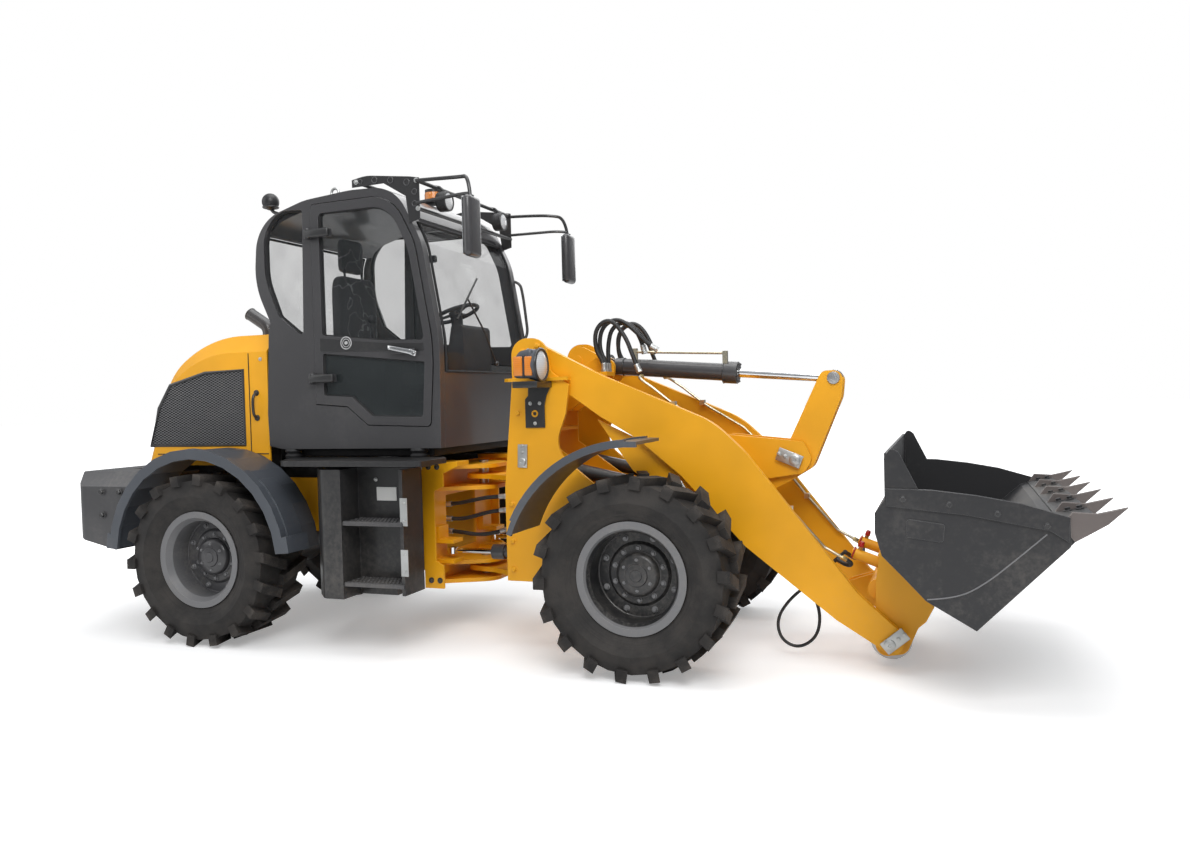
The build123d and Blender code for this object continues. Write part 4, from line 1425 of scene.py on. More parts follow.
@dataclass
class DoorTrim:
    """The middle band, handle, lock and hinge covers of one door."""

    side: Side
    band_y: tuple[float, float] = (0.626, 0.629)
    handle_y: tuple[float, float] = (0.650, 0.664)
    hinge_y: tuple[float, float] = (0.630, 0.669)
    hinges: tuple[float, ...] = (2.530, 1.640)
    hinge_height: float = 0.054
    lock: tuple[float, float] = (-0.479, 1.852)
    band: Pairs = ((-0.672, 1.806), (0.058, 1.784), (0.056, 1.832), (-0.210, 1.842),
                   (-0.672, 1.892))
    paddle: Pairs = ((-0.166, 1.824), (-0.166, 1.798), (-0.030, 1.768), (0.020, 1.750),
                     (0.028, 1.780), (-0.020, 1.796))
    barrel: Pairs = ((0, 0.036), (0.014, 0.034), (0.022, 0.026), (0.022, -0.026), (0.014, -0.034),
                     (0, -0.036))
    button: Pairs = ((0, 0.006), (0.008, 0.006), (0.010, 0))
    keyhole: Pairs = ((0, 0.008), (0.010, 0.006), (0.012, 0))

    def across(self, depths: tuple[float, float]) -> list[float]:
        """Two depths on this door's side, the lower Y first."""
        return sorted(self.side.value * depth for depth in depths)

    def build(self) -> None:
        """Makes the pieces."""
        out, word = self.side.value, self.side.word
        body = f"door_{word}"
        way = (0, out, 0)
        band = Shape().plate(self.band, *self.across(self.band_y), 0.001, 1)
        band.made(f"door_band_{word}", body, BLACK)
        handle = Shape().plate(self.paddle, *self.across(self.handle_y), 0.004, 3)
        handle.lathe(self.button, at(0.008, out * self.handle_y[1], 1.768), way, 20)
        handle.made(f"door_handle_{word}", body, CHROME)
        x, z = self.lock
        lock = Shape().ring(at(x, out * 0.630, z), way, 0.037, 0.0035, 40)
        lock.ring(at(x, out * 0.630, z), way, 0.024, 0.0025, 32)
        lock.lathe(self.keyhole, at(x, out * 0.628, z), way, 24)
        lock.made(f"door_lock_{word}", body, LOCK_RING)
        covers = Shape()
        low, high = self.across(self.hinge_y)
        tall = self.hinge_height / 2
        for z in self.hinges:
            covers.box((-0.742, low, z - tall), (-0.560, high, z + tall), 0.015, 4)
            covers.lathe(self.barrel, at(-0.722, out * 0.646, z), Z_AXIS, 24)
        covers.made(f"door_hinge_covers_{word}", body, BLACK)


@dataclass
class Seat:
    """The seat's sewn cushion, back and head pads, over its bellows."""

    width: float = 0.46
    head_width: float = 0.25
    detail: int = 20
    seams: tuple[float, ...] = (-0.55, 0.0, 0.55)
    seam_width: float = 0.035
    seam_depth: float = 0.16
    squareness: int = 6
    crown: float = 0.30
    crown_turn: float = 1.35
    waist: float = 0.035
    fill: float = 0.8
    folds: int = 9
    fold_pitch: float = 0.030
    fold_depth: float = 0.012

    def pad(self, low: Vector, high: Vector, thin: int, seams: Sequence[float]) -> Shape:
        """A crowned pad between two corners.

        Args:
            low: its lowest corner.
            high: its highest corner.
            thin: the axis it is thin along.
            seams: where sewn channels run across its width, from -1 to 1.

        Returns:
            The pad.
        """
        part = bmesh.new()
        bmesh.ops.create_cube(part, size=2.0)
        bmesh.ops.subdivide_edges(part, edges=part.edges, cuts=self.detail, use_grid_fill=True)
        middle, half = (low + high) / 2, (high - low) / 2
        wide = [axis for axis in range(3) if axis != thin]
        for vertex in part.verts:
            spot = vertex.co
            reach = sum(abs(c) ** self.squareness for c in spot) ** (1 / self.squareness)
            spot = spot / reach
            crown = math.prod(math.cos(spot[axis] * self.crown_turn) for axis in wide)
            groove = sum(math.exp(-((spot[1] - seam) / self.seam_width) ** 2) for seam in seams)
            spot[thin] *= 1 - self.crown + self.crown * crown - self.seam_depth * groove
            for axis in wide:
                other = wide[0] if axis == wide[1] else wide[1]
                spot[axis] *= 1 - self.waist * (1 - spot[other] ** 2)
            vertex.co = Vector(m + c * h for m, c, h in zip(middle, spot, half))
        bmesh.ops.recalc_face_normals(part, faces=part.faces)
        return Shape().add(part)

    def build(self) -> None:
        """Makes the pieces."""
        half, head = self.width / 2, self.head_width / 2
        pads = {
            "seat_cushion": (at(-0.850, -half, 1.565), at(-0.355, half, 1.690), 2, self.seams),
            "seat_back": (at(-0.888, -half, 1.690), at(-0.785, half, 2.345), 0, self.seams),
            "seat_head": (at(-0.893, -head, 2.365), at(-0.826, head, 2.595), 0, ()),
        }
        for name, (low, high, thin, seams) in pads.items():
            piece = self.pad(low, high, thin, seams).made(name, "rear_half", CLOTH, 180.0)
            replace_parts(piece, "seat")
        folds = [(0.168 + self.fold_depth * (k % 2), self.fold_pitch * k)
                 for k in range(self.folds)]
        base = Shape().lathe([(0, 0), *folds, (0, 0.24)], at(-0.615, 0, 1.310), Z_AXIS, 36)
        for y in (0.10, -0.10):
            base.tube(route((-0.840, y, 2.33), (-0.845, y, 2.39)), 0.008)
        base.box((-0.800, -0.20, 1.548), (-0.420, 0.20, 1.566))
        piece = base.made("seat_bellows", "rear_half", TRIM)
        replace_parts(piece, "seat")


@dataclass
class Steps:
    """The raised studs of the treads, the hinge plates and the blank plate on the tank."""

    treads: tuple[float, ...] = (0.442, 0.797)
    rows: int = 4
    per_row: int = 15
    first: tuple[float, float] = (-0.325, 0.755)
    row_pitch: float = 0.050
    row_length: float = 0.350
    edge: tuple[float, float] = (-0.340, 0.056)
    edge_y: tuple[float, float] = (0.918, 0.923)
    teeth: int = 40
    tooth_pitch: float = 0.0099
    stud: Pairs = ((0.0105, 0), (0.0085, 0.005), (0.0055, 0.005), (0.0045, 0.001), (0, 0.001))
    hinges: tuple[Pairs, ...] = (((0.041, 0.780), (0.089, 0.940)),
                                 ((0.038, 0.492), (0.086, 0.646)))
    hinge_y: tuple[float, float] = (0.912, 0.918)
    tank_bolts: Pairs = ((-0.560, 0.42), (-0.560, 1.03), (-0.220, 0.42), (-0.220, 1.03))

    def tread(self, studs: Shape, z: float) -> None:
        """Adds one tread's studs and its toothed outer edge.

        Args:
            studs: what they are added to.
            z: the tread's height.
        """
        start, inner = self.first
        for row in range(self.rows):
            for k in range(self.per_row):
                x = start + self.row_length * k / (self.per_row - 1)
                studs.lathe(self.stud, at(x, inner + self.row_pitch * row, z), Z_AXIS, 6)
        rear, front = self.edge
        teeth = []
        for k in range(self.teeth):
            teeth.extend([(rear + self.tooth_pitch * k, z - 0.002),
                          (rear + 0.005 + self.tooth_pitch * k, z + 0.007)])
        studs.plate([(rear, z - 0.020), *teeth, (front, z - 0.002), (front, z - 0.020)],
                    *self.edge_y)

    def build(self) -> None:
        """Makes the pieces."""
        studs, hinges, plates, bolts = Shape(), Shape(), Shape(), Shape()
        for z in self.treads:
            self.tread(studs, z)
        near, far = self.hinge_y
        for (rear, bottom), (front, top) in self.hinges:
            hinges.box((rear, near, bottom), (front, far, top), 0.002, 1)
            x = rear + 0.027
            bolts.side_bolts([(x, bottom + 0.03), (x, top - 0.03)], far, 0.008)
        plates.box((-0.215, 0.750, 0.905), (-0.080, 0.754, 0.985), 0.001, 1)
        bolts.side_bolts(self.tank_bolts, 0.751, 0.009)
        for shape, name, finish in ((studs, "tread_studs", DARK_GREY),
                                    (hinges, "step_hinge_plates", ZINC),
                                    (plates, "blank_plates", WHITE), (bolts, "step_bolts", ZINC)):
            shape.mirrored().made(name, "rear_half", finish)


@dataclass
class Grilles:
    """Black frames round the hood's meshes, the wall behind them, handles, seams and bolts."""

    frame: float = 0.011
    face: float = 0.6005
    seam: float = 0.0035
    slats: tuple[float, ...] = (-0.36, -0.12, 0.12, 0.36)
    handle_x: float = -1.190
    handle_heights: tuple[float, ...] = (1.405, 1.565)
    handle_foot: Pairs = ((0, 0.006), (0.018, 0.006), (0.020, 0))
    bolts: Pairs = ((-1.150, 1.140), (-1.150, 1.780), (-1.500, 1.140), (-1.850, 1.140),
                    (-1.990, 1.140))

    def build(self) -> None:
        """Makes the pieces."""
        frames = Shape()
        for line in rim_loops("hood_grilles"):
            frames.tube(line, self.frame, 6, closed=True)
        frames.made("grille_frames", "rear_half", BLACK)
        wall = Shape().box((-2.030, -0.540, 1.040), (-2.010, 0.540, 1.420), 0.006, 2)
        for y in self.slats:
            wall.box((-2.048, y - 0.012, 1.060), (-2.028, y + 0.012, 1.400), 0.004, 1)
        wall.made("hood_bulkhead", "rear_half", SEAL)
        x = self.handle_x
        grip = spline(route((x, 0.598, 1.405), (x, 0.632, 1.412), (x, 0.640, 1.485),
                            (x, 0.632, 1.558), (x, 0.598, 1.565)))
        handle = Shape().tube(grip, 0.009, 10)
        for z in self.handle_heights:
            handle.lathe(self.handle_foot, at(x, 0.600, z), Y_AXIS, 20)
        seams = Shape().tube(route((-1.245, self.face, 1.110), (-1.245, self.face, 1.820)),
                             self.seam, 6)
        seams.tube(route((-2.020, self.face, 1.175), (-1.110, self.face, 1.175)), self.seam, 6)
        bolts = Shape().side_bolts(self.bolts, 0.600, 0.009)
        handle.mirrored().made("hood_handles", "rear_half", BLACK)
        seams.mirrored().made("hood_seams", "rear_half", SEAL)
        bolts.mirrored().made("hood_bolts", "rear_half", ZINC)


@dataclass
class Lamps:
    """Lenses and bezels of every lamp, the beacon and the roof's lifting eyes."""

    head: Point = (0.801, 0.600, 1.672)
    work: Point = (0.121, 0.380, 2.700)
    rear: Point = (-1.170, 0.420, 2.775)
    beacon: Point = (-0.200, 0.0, 2.780)
    eye: Point = (-0.612, 0.500, 2.800)
    case: Pairs = ((0.655, 1.600), (0.655, 1.700), (0.690, 1.752), (0.775, 1.768), (0.788, 1.600))
    bracket: Pairs = ((0.628, 1.312), (0.752, 1.312), (0.752, 1.440), (0.765, 1.500),
                      (0.790, 1.546), (0.650, 1.546), (0.648, 1.500), (0.628, 1.480))
    bracket_bolts: Pairs = ((0.662, 1.455), (0.722, 1.455), (0.690, 1.338))
    bracket_y: tuple[float, float] = (0.451, 0.459)
    reflector_rings: int = 4
    cooling_rings: int = 5
    bowl: Pairs = ((0, -0.10), (0.070, -0.09), (0.090, -0.03), (0.096, -0.006), (0.096, 0.002))
    head_lens: Pairs = ((0, 0.024), (0.030, 0.021), (0.060, 0.012), (0.083, 0.001))
    work_lens: Pairs = ((0, 0.010), (0.030, 0.008), (0.052, 0.0))
    stem_foot: Pairs = ((0, 0), (0.030, 0), (0.030, 0.008), (0.016, 0.014), (0, 0.014))
    dome: Pairs = ((0.057, 0.012), (0.058, 0.060), (0.052, 0.082), (0.030, 0.093), (0, 0.095))
    eye_foot: Pairs = ((0, 0), (0.028, 0), (0.028, 0.008), (0.014, 0.014), (0, 0.014))

    def headlights(self) -> None:
        """Makes the round headlights with their orange side lamps, on slotted brackets."""
        x, y, z = self.head
        place, face = at(x, y, z), self.bracket_y[1]
        case = Shape().plate(self.case, 0.528, 0.676, 0.022, 4)
        case.lathe(self.bowl, place, X_AXIS, 40)
        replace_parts(case.mirrored().made("headlight_cases", "front_half", BLUE_GREY), "headlights")
        bezel = Shape().ring(place, X_AXIS, 0.091, 0.009, 44)
        bezel.box((0.722, 0.672, 1.606), (0.734, 0.688, 1.728), 0.002, 1)
        bezel.box((0.648, 0.455, 1.545), (0.802, 0.672, 1.582), 0.005, 2)
        bezel.plate(self.bracket, *self.bracket_y, 0.002, 1)
        bezel.mirrored().made("headlight_brackets", "front_half", BLACK)
        slots = Shape().ring(at(0.690, face, 1.395), Y_AXIS, 0.016, 0.005, 24)
        slots.mirrored().made("headlight_slots", "front_half", YELLOW)
        bolts = Shape().side_bolts(self.bracket_bolts, face, 0.008)
        bolts.mirrored().made("headlight_bolts", "front_half", ZINC)
        clear = Shape().lathe(self.head_lens, place, X_AXIS, 44)
        for k in range(self.reflector_rings):
            clear.ring(at(x + 0.019 - 0.004 * k, y, z), X_AXIS, 0.018 + 0.017 * k, 0.0016, 36)
        clear.mirrored().made("headlight_lenses", "front_half", CLEAR_LENS)
        amber = Shape().box((0.664, 0.674, 1.612), (0.722, 0.690, 1.722), 0.007, 3)
        amber.box((0.734, 0.674, 1.612), (0.780, 0.690, 1.722), 0.007, 3)
        amber.mirrored().made("side_lamp_lenses", "front_half", AMBER_LENS)

    def work_lamps(self) -> None:
        """Makes the front work lamps' bezels and lenses, and the rear ones' collars and stems."""
        x, y, z = self.work
        bezel = Shape().ring(at(x, y, z), X_AXIS, 0.056, 0.006, 36)
        for k in range(self.cooling_rings):
            bezel.ring(at(x - 0.012 - 0.009 * k, y, z), X_AXIS, 0.060, 0.002, 36)
        bezel.tube(route((0.09, y, 2.762), (0.06, y, 2.790), (0.02, y, 2.800)), 0.009, 8)
        side = self.rear[1]
        bezel.ring(at(*self.rear), Z_AXIS, 0.046, 0.007, 28)
        bezel.tube(spline(route((-1.030, side, 2.640), (-1.050, side, 2.690),
                                (-1.110, side, 2.728), (-1.160, side, 2.745), self.rear)),
                   0.011, 10)
        bezel.lathe(self.stem_foot, at(-1.036, side, 2.642), (-0.66, 0, 0.75), 24)
        bezel.mirrored().made("work_lamp_bezels", "rear_half", BLACK)
        lens = Shape().lathe(self.work_lens, at(x, y, z), X_AXIS, 36)
        lens.mirrored().made("work_lamp_lenses", "rear_half", CLEAR_LENS)

    def roof(self) -> None:
        """Makes the beacon and the lifting eyes."""
        x, y, z = self.beacon
        dome = Shape().lathe(self.dome, at(x, y, z), Z_AXIS, 36)
        dome.made("beacon_dome", "rear_half", AMBER_LENS)
        foot = Shape().ring(at(x, y, z + 0.006), Z_AXIS, 0.059, 0.007, 36)
        foot.made("beacon_foot", "rear_half", BLACK)
        x, y, z = self.eye
        eyes = Shape().ring(at(x, y, z), Y_AXIS, 0.026, 0.008, 24)
        eyes.lathe(self.eye_foot, at(x, y, 2.758), Z_AXIS, 20)
        eyes.mirrored().made("lifting_eyes", "rear_half", ZINC)

    def build(self) -> None:
        """Makes the pieces."""
        self.headlights()
        self.work_lamps()
        self.roof()


@dataclass
class Mirrors:
    """The rear mirrors on their bent arms."""

    head: Point = (0.452, 0.731, 2.462)
    size: Point = (0.066, 0.150, 0.345)
    border: float = 0.014

    def build(self) -> None:
        """Makes the pieces."""
        arms = Shape()
        arms.tube(spline(route((0.052, 0.640, 2.780), (0.200, 0.645, 2.775), (0.350, 0.660, 2.766),
                               (0.440, 0.722, 2.752), (0.452, 0.731, 2.620))), 0.011, 10)
        arms.tube(spline(route((0.052, 0.640, 2.650), (0.250, 0.672, 2.655), (0.400, 0.702, 2.660),
                               (0.450, 0.728, 2.650))), 0.010, 10)
        x, y, z = self.head
        deep, wide, tall = (side / 2 for side in self.size)
        shell = Shape().box((x - deep + 0.010, y - wide, z - tall),
                            (x + deep, y + wide, z + tall), 0.030, 5)
        shell.ring(at(x, y, z + tall), Z_AXIS, 0.016, 0.006, 20)
        glass = Shape().box(
            (x - deep + 0.007, y - wide + self.border, z - tall + self.border),
            (x - deep + 0.011, y + wide - self.border, z + tall - self.border), 0.001, 1)
        for shape, name, finish in ((arms, "mirror_arms", BLACK),
                                    (shell, "mirror_heads", DARK_GREY),
                                    (glass, "mirror_glasses", MIRROR)):
            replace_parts(shape.mirrored().made(name, "rear_half", finish), "mirrors")


@dataclass(frozen=True)
class PinEnd:
    """The pair of ends of one pin, each with a keeper plate and its bolts."""

    name: str
    place: Point
    radius: float
    body: str
    slant: float
    reach: float = 0.105
    thickness: float = 0.009
    bolt: float = 0.009
    bolt_shares: tuple[float, ...] = (0.55, 0.90)

    def build(self) -> None:
        """Makes both sides' keeper plates, which slant by degrees, their bolts and pin ends."""
        x, y, z = self.place
        turn, r = math.radians(self.slant), self.radius
        way = Vector((math.cos(turn), math.sin(turn)))
        across = Vector((-way.y, way.x)) * (r + 0.006)
        foot, top = Vector((x, z)) - way * (r + 0.008), Vector((x, z)) + way * self.reach
        corners = [tuple(foot - across), tuple(top - across), tuple(top + across),
                   tuple(foot + across)]
        plate = Shape().plate(corners, y, y + self.thickness, 0.004, 2)
        plate.lathe([(r, 0), (r, 0.008), (r * 0.85, 0.011), (r * 0.3, 0.011), (r * 0.22, 0.007),
                     (0, 0.007)], at(x, y + 0.008, z), Y_AXIS, 32)
        for share in self.bolt_shares:
            spot = Vector((x, z)) + way * self.reach * share
            plate.bolt(at(spot.x, y + self.thickness, spot.y), Y_AXIS, self.bolt)
        plate.mirrored().made(f"{self.name}_ends", self.body, ZINC)


PIN_ENDS = [
    PinEnd("boom_pin", (0.650, 0.458, 1.730), 0.030, "front_half", 300, 0.08),
    PinEnd("lift_rear_pin", (0.600, 0.450, 1.110), 0.025, "front_half", 88),
    PinEnd("lift_front_pin", (1.580, 0.410, 0.900), 0.025, "boom", 120),
    PinEnd("bucket_pin", (2.660, 0.423, 0.151), 0.030, "bucket_pins", 40),
    PinEnd("rocker_pin", (2.140, 0.109, 1.096), 0.032, "rocker_pin", 158),
]


@dataclass
class RockerTopPin:
    """The headed pin through the rocker's upper eye."""

    place: Point = (2.357, 0, 1.557)
    radius: float = 0.0245
    half: float = 0.062

    def build(self) -> None:
        """Makes the pin."""
        r, half = self.radius, self.half
        head = [(0, half + 0.012), (r * 0.5, half + 0.012), (r + 0.010, half + 0.009),
                (r + 0.012, half), (r, half)]
        profile = head + [(radius, -y) for radius, y in reversed(head)]
        pin = Shape().lathe(profile, at(*self.place), Y_AXIS, 32)
        pin.made("rocker_top_pin", "rocker", PIN_STEEL)


@dataclass
class BucketTrim:
    """The bucket's weld lines, cutting edge and bolts."""

    half: float = 0.988
    teeth: int = 6
    tooth_inset: float = 0.014
    bolt_shift: float = 0.045
    bolt_way: Point = (-0.21, 0, 0.98)
    bolt_rows: Pairs = ((3.480, 0.895), (3.530, 0.906))
    side_border: float = 0.03
    edge_half: float = 0.972
    weld: float = 0.0035
    seam: Pairs = ((2.859, 0.519), (2.985, 0.530), (3.105, 0.600), (3.237, 0.717), (3.360, 0.832))
    edge: Pairs = ((3.420, 0.8755), (3.560, 0.9060), (3.566, 0.9045), (3.560, 0.9110),
                   (3.420, 0.8830))
    side_bolts: Pairs = ((2.760, 0.980), (2.960, 0.958), (3.160, 0.920), (3.360, 0.870))

    def build(self) -> None:
        """Makes the pieces."""
        seam = spline([at(x, self.half + 0.001, z) for x, z in self.seam])
        Shape().tube(seam, self.weld, 8).mirrored().made("bucket_welds", "bucket", GREY)
        edge = Shape().plate(self.edge, -self.edge_half, self.edge_half)
        edge.made("cutting_edge", "bucket", BLACK)
        bolts = Shape()
        outer = self.half - self.tooth_inset
        for k in range(self.teeth):
            y = -self.half + self.tooth_inset + 2 * outer * k / (self.teeth - 1)
            for shift in (-self.bolt_shift, self.bolt_shift):
                if abs(y + shift) < self.half - self.side_border:
                    for x, z in self.bolt_rows:
                        bolts.bolt(at(x, y + shift, z), self.bolt_way, 0.014)
        bolts.made("tooth_bolts", "bucket", BLACK)
        side = Shape().side_bolts(self.side_bolts, 1.0, 0.011, 0.009)
        side.mirrored().made("side_strip_bolts", "bucket", BLACK)


@dataclass(frozen=True)
class Gland:
    """The gland and the two bands of a cylinder's barrel."""

    name: str
    rear: Point
    front: Point
    reach: float
    barrel: float
    body: str
    both: bool
    lip: float = 0.014
    bolts: int = 8
    front_band: float = 0.080
    rear_band: float = 0.085

    def build(self) -> None:
        """Makes the piece: reach is the barrel's length from its rear pin, both adds a mirror."""
        rear, front = at(*self.rear), at(*self.front)
        way = (front - rear).normalized()
        end = rear + way * self.reach
        outer = self.barrel + self.lip
        shape = Shape().lathe([(0.030, 0), (0.034, 0.007), (outer - 0.008, 0.007), (outer, 0.001),
                               (outer, -0.001)], end, way, 36)
        shape.bolt_circle(end + way * 0.006, way, outer - 0.012, self.bolts, 0.006)
        shape.ring(end - way * self.front_band, way, outer, 0.003, 36)
        shape.ring(rear + way * self.rear_band, way, self.barrel, 0.005, 36)
        if self.both:
            shape.mirrored()
        shape.made(f"{self.name}_gland", self.body, BLACK)


GLANDS = [
    Gland("tilt", (1.014, 0, 1.671), (2.357, 0, 1.557), 0.790, 0.052, "tilt_cylinder", False),
    Gland("lift", (0.600, 0.290, 1.110), (1.580, 0.290, 0.900), 0.880, 0.042, "lift_cylinders",
          True),
]


@dataclass
class RoofRack:
    """Rims of the punched holes and the bolts of the lamp rack."""

    face: float = 0.628
    holes: tuple[Point, ...] = (
        (-0.340, 2.815, 0.014), (-0.240, 2.815, 0.018), (-0.130, 2.803, 0.018),
        (-0.020, 2.780, 0.018), (0.030, 2.720, 0.016), (0.030, 2.650, 0.016))
    bolts: Pairs = ((-0.370, 2.815), (0.045, 2.785), (0.052, 2.620))

    def build(self) -> None:
        """Makes the pieces."""
        rims = Shape()
        for x, z, size in self.holes:
            rims.ring(at(x, self.face + 0.0005, z), Y_AXIS, size, 0.003, 20)
        bolts = Shape().side_bolts(self.bolts, self.face, 0.011)
        rims.mirrored().made("rack_hole_rims", "rear_half", DARK_GREY)
        bolts.mirrored().made("rack_bolts", "rear_half", ZINC)


@dataclass
class FrameBolts:
    """The cab's mounts with a painted shade box round them, and the bolts of the front tower, rear
    frame and counterweight.
    """

    tower: Pairs = ((0.525, 0.470), (0.525, 0.640), (0.525, 0.860), (0.620, 1.760), (0.715, 1.790),
                    (0.580, 1.400), (1.340, 0.700), (1.440, 0.690), (1.540, 0.690))
    hinge: Pairs = ((-0.040, 0.380), (-0.040, 1.080), (0.020, 0.380), (0.020, 1.080))
    weight: Pairs = ((-2.200, 0.800), (-2.200, 0.950), (-2.050, 0.950))
    mount_rows: tuple[float, ...] = (-0.930, -0.020)
    mount: Pairs = ((0, -0.004), (0.052, -0.004), (0.058, 0.012), (0.044, 0.024), (0.058, 0.040),
                    (0.052, 0.056), (0, 0.056))

    def mounts(self) -> None:
        """Makes the cab's rubber mounts and a near-black box that fills the gap between the cab and
        the deck as painted shade.
        """
        # painted shade: a near-black box in the shaded gap under the cab
        rubber = Shape().box((-1.020, -0.550, 1.150), (0.060, 0.550, 1.207), 0.014, 3)
        for x in self.mount_rows:
            for side in Side:
                rubber.lathe(self.mount, at(x, side.value * 0.575, 1.151), Z_AXIS, 28)
        rubber.made("cab_mounts", "rear_half", SEAL)

    def build(self) -> None:
        """Makes the pieces."""
        self.mounts()
        front = Shape().side_bolts(self.tower, 0.450, 0.014)
        front.mirrored().made("tower_bolts", "front_half", YELLOW)
        rear = Shape().side_bolts(self.hinge, 0.450, 0.013).side_bolts(self.weight, 0.900, 0.018)
        rear.mirrored().made("frame_bolts", "rear_half", BLACK)


@dataclass
class Exhaust:
    """The rolled rim and clamp of the exhaust."""

    end: Point = (-1.720, 0, 2.140)
    way: Point = (-0.848, 0, 0.530)
    clamp: Point = (-1.560, 0, 1.962)
    bore: Pairs = ((0.040, 0.001), (0.038, -0.060), (0, -0.062))

    def build(self) -> None:
        """Makes the pieces."""
        rim = Shape().ring(at(*self.end), self.way, 0.044, 0.004, 32)
        rim.lathe(self.bore, at(*self.end), self.way, 32)
        rim.ring(at(*self.clamp), Z_AXIS, 0.050, 0.007, 32)
        rim.made("exhaust_rim", "rear_half", BLACK)


# ---------------------------------------------------------------- the frame's own nodes


def dress(node: bpy.types.Object, finish: Finish) -> None:
    """Gives a piece one finish on all its faces.

    Args:
        node: the object.
        finish: its finish.
    """
    material = finish.material()
    slots = node.material_slots
    if not slots:
        node.data.materials.append(material)
    for entry in slots:
        entry.material = material


def node_finish(name: str, slot: str) -> Finish:
    """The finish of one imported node.

    Args:
        name: the node's name.
        slot: the material slot that its record gives.

    Returns:
        The wheel's own finish, the node's own one, or the slot's.
    """
    low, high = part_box(name)
    axle = tuple((low + high) / 2)
    if name.startswith("tyre_"):
        return Rubber(f"{name} rubber", "tyre_rubber", axle, (high.z - low.z) / 2)
    if name.startswith("rim_"):
        front = End.FRONT.value in name
        return RimPaint(f"{name} paint", "grey_paint", GREY.colour,
                        FRONT_DISH if front else REAR_DISH, axle,
                        FRONT_DISH_RADIUS if front else REAR_DISH_RADIUS)
    return NODE_FINISH.get(name, SLOT_FINISH[slot])


def dress_frame() -> None:
    """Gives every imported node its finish."""
    for part in frame["record"]["subparts"]:
        name = part["node"]
        dress(frame["nodes"][name], node_finish(name, part["material_slot"]))
        LOG.info("dressed %s", name)


# ---------------------------------------------------------------- studio


@dataclass(frozen=True)
class SoftLamp:
    """One square studio light."""

    name: str
    place: Point
    target: Point
    size: float
    power: float

    def build(self) -> None:
        """Makes the light, turned to its target."""
        data = bpy.data.lights.new(self.name, "AREA")
        data.shape = "SQUARE"
        data.size = self.size
        data.energy = self.power
        lamp = bpy.data.objects.new(self.name, data)
        lamp.location = self.place
        way = Vector(self.target) - Vector(self.place)
        lamp.rotation_euler = way.to_track_quat("-Z", "Y").to_euler()
        bpy.context.scene.collection.objects.link(lamp)


LIGHTS = [
    SoftLamp("key", (3.5, -7.0, 7.5), (0.2, 0.0, 1.0), 5.0, 520.0),
    SoftLamp("fill", (-8.0, -4.0, 4.5), (0.0, 0.0, 1.2), 6.0, 130.0),
    SoftLamp("back", (-1.0, 8.0, 6.5), (0.0, 0.0, 1.4), 7.0, 260.0),
    SoftLamp("top", (0.0, 0.0, 9.5), (0.0, 0.0, 0.0), 7.0, 380.0),
]


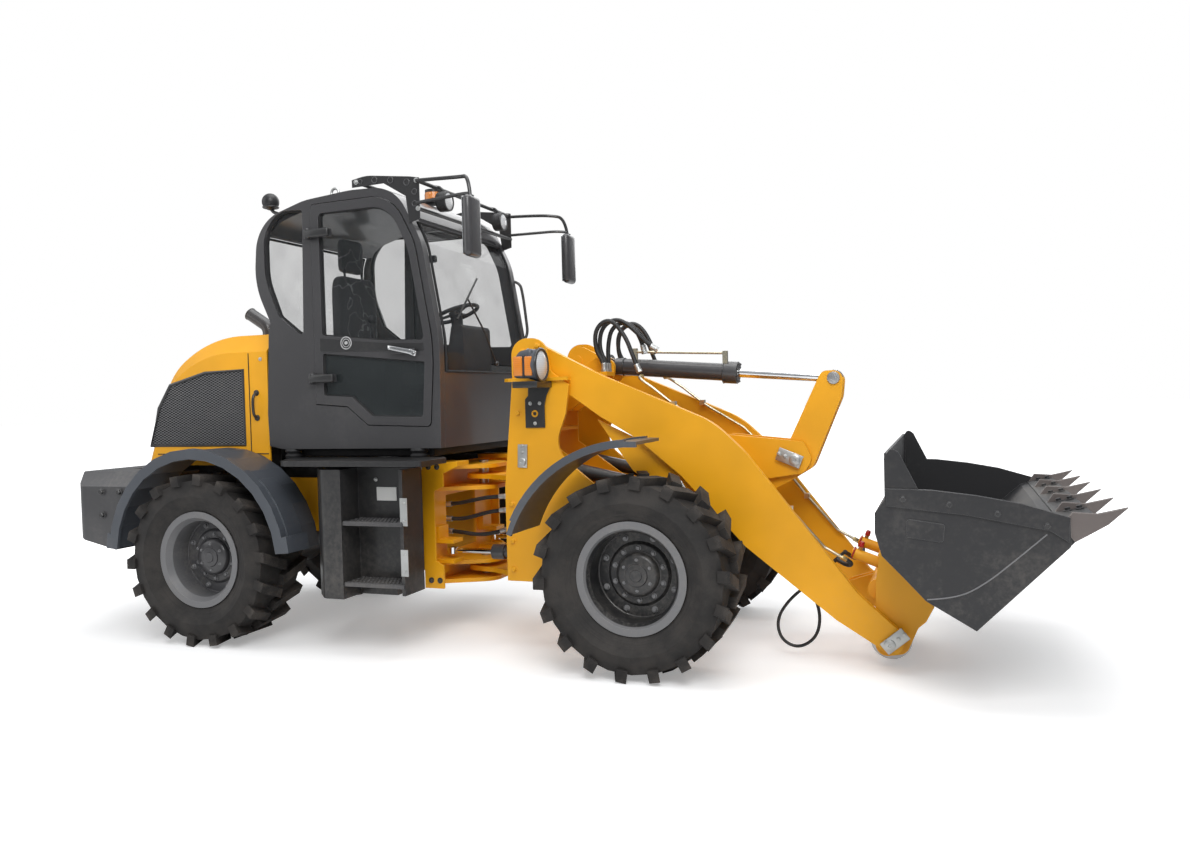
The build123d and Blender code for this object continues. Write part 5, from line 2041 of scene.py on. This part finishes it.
@dataclass
class Studio:
    """The floor, lights and camera."""

    eye: Point = (2.3895, -5.556, 1.489)
    yaw: float = 0.3563
    pitch: float = 0.0331
    roll: float = -0.026
    lens: float = 28.75
    sensor: float = 36.0
    far: float = 200.0
    floor_size: float = 160.0
    floor_tones: tuple[Colour, Colour] = ((0.84, 0.84, 0.84), (0.86, 0.86, 0.86))
    glow: float = 0.30
    shadow_reach: float = 3.4
    white_reach: float = 7.0
    sky_colour: Colour = (0.95, 0.97, 1.0)
    sky_rise: tuple[float, float] = (-0.05, 0.8)
    horizon: float = 0.14
    zenith: float = 0.62

    def camera(self) -> None:
        """Makes the camera: its yaw is from +Y towards -X, its pitch down."""
        level = Vector((math.cos(self.yaw), math.sin(self.yaw), 0.0))
        ahead = Vector((-math.sin(self.yaw) * math.cos(self.pitch),
                        math.cos(self.yaw) * math.cos(self.pitch), -math.sin(self.pitch)))
        above = level.cross(ahead)
        right = level * math.cos(self.roll) + above * math.sin(self.roll)
        up = above * math.cos(self.roll) - level * math.sin(self.roll)
        data = bpy.data.cameras.new("camera")
        data.lens = self.lens
        data.sensor_width = self.sensor
        data.sensor_fit = "HORIZONTAL"
        data.clip_end = self.far
        camera = bpy.data.objects.new("camera", data)
        turn = Matrix((right, up, -ahead)).transposed().to_4x4()
        camera.matrix_world = Matrix.Translation(Vector(self.eye)) @ turn
        bpy.context.scene.collection.objects.link(camera)
        bpy.context.scene.camera = camera

    def floor(self) -> None:
        """Makes the pale floor: white to the camera, with the machine's soft shadow."""
        mesh = bpy.data.meshes.new("floor")
        half = self.floor_size / 2
        corners = [(-half, -half, 0), (half, -half, 0), (half, half, 0), (-half, half, 0)]
        mesh.from_pydata(corners, [], [(0, 1, 2, 3)])
        floor = bpy.data.objects.new("floor", mesh)
        bpy.context.scene.collection.objects.link(floor)
        graph = Graph("studio floor")
        tone = graph.noise(0.6, 2.0)
        x, y, _ = graph.axes(graph.place())
        away = ((x * x) + (y * y)) ** 0.5
        seen = graph.value("ShaderNodeLightPath", "Is Camera Ray")
        glow = graph.mix(away.step(self.shadow_reach, self.white_reach), (self.glow,) * 3,
                         (1.0, 1.0, 1.0))
        graph.set(Base_Color=graph.mix(tone, *self.floor_tones), Roughness=0.85,
                  Emission_Color=graph.mix(seen, (0.0, 0.0, 0.0), glow), Emission_Strength=1.0)
        mesh.materials.append(graph.material)

    def sky(self) -> None:
        """Makes the world: white to the camera and through glass, a plain grey light otherwise."""
        world = bpy.data.worlds.new("studio")
        bpy.context.scene.world = world
        world.use_nodes = True
        tree = Tree(world.node_tree)
        rays = tree.node("ShaderNodeLightPath").outputs
        seen = tree.node("ShaderNodeMath", {"operation": "MAXIMUM"},
                         {0: rays["Is Camera Ray"], 1: rays["Is Transmission Ray"]})
        way = tree.node("ShaderNodeTexCoord")
        axes = tree.node("ShaderNodeSeparateXYZ", None, {0: way.outputs["Generated"]})
        low, high = self.sky_rise
        rise = tree.node("ShaderNodeMapRange", None,
                         {"Value": axes.outputs["Z"], "From Min": low, "From Max": high,
                          "To Min": self.horizon, "To Max": self.zenith})
        light = tree.node("ShaderNodeBackground", None,
                          {"Color": self.sky_colour, "Strength": rise.outputs["Result"]})
        white = tree.node("ShaderNodeBackground", None, {"Color": (1.0, 1.0, 1.0)})
        blend = tree.node("ShaderNodeMixShader", None,
                          {0: seen.outputs[0], 1: light.outputs[0], 2: white.outputs[0]})
        tree.node("ShaderNodeOutputWorld", None, {"Surface": blend.outputs[0]})

    def build(self) -> None:
        """Sets up the whole studio."""
        self.camera()
        self.floor()
        for lamp in LIGHTS:
            lamp.build()
        self.sky()
        bpy.context.scene.view_settings.view_transform = "Standard"


def sub_assemblies() -> list[Any]:
    """Sets up every sub-assembly that is added to the frame.

    Returns:
        The sub-assemblies in the order that they are built in, the hoses first.
    """
    wheels = [WheelTrim(end, side) for end in End for side in Side]
    doors = [DoorTrim(side) for side in Side]
    return [Hoses(), *wheels, *doors, ArmEnd(), Windows(), Seat(), Steps(), Grilles(), Lamps(),
            Mirrors(), *PIN_ENDS, RockerTopPin(), BucketTrim(), *GLANDS, RoofRack(), FrameBolts(),
            Exhaust()]


def main() -> None:
    """Dresses the frame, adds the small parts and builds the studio."""
    logging.basicConfig(level=logging.INFO, format="%(message)s")
    Studio().build()
    dress_frame()
    for part in sub_assemblies():
        part.build()
        LOG.info("built %s", type(part).__name__)


if __name__ == "__main__":
    main()
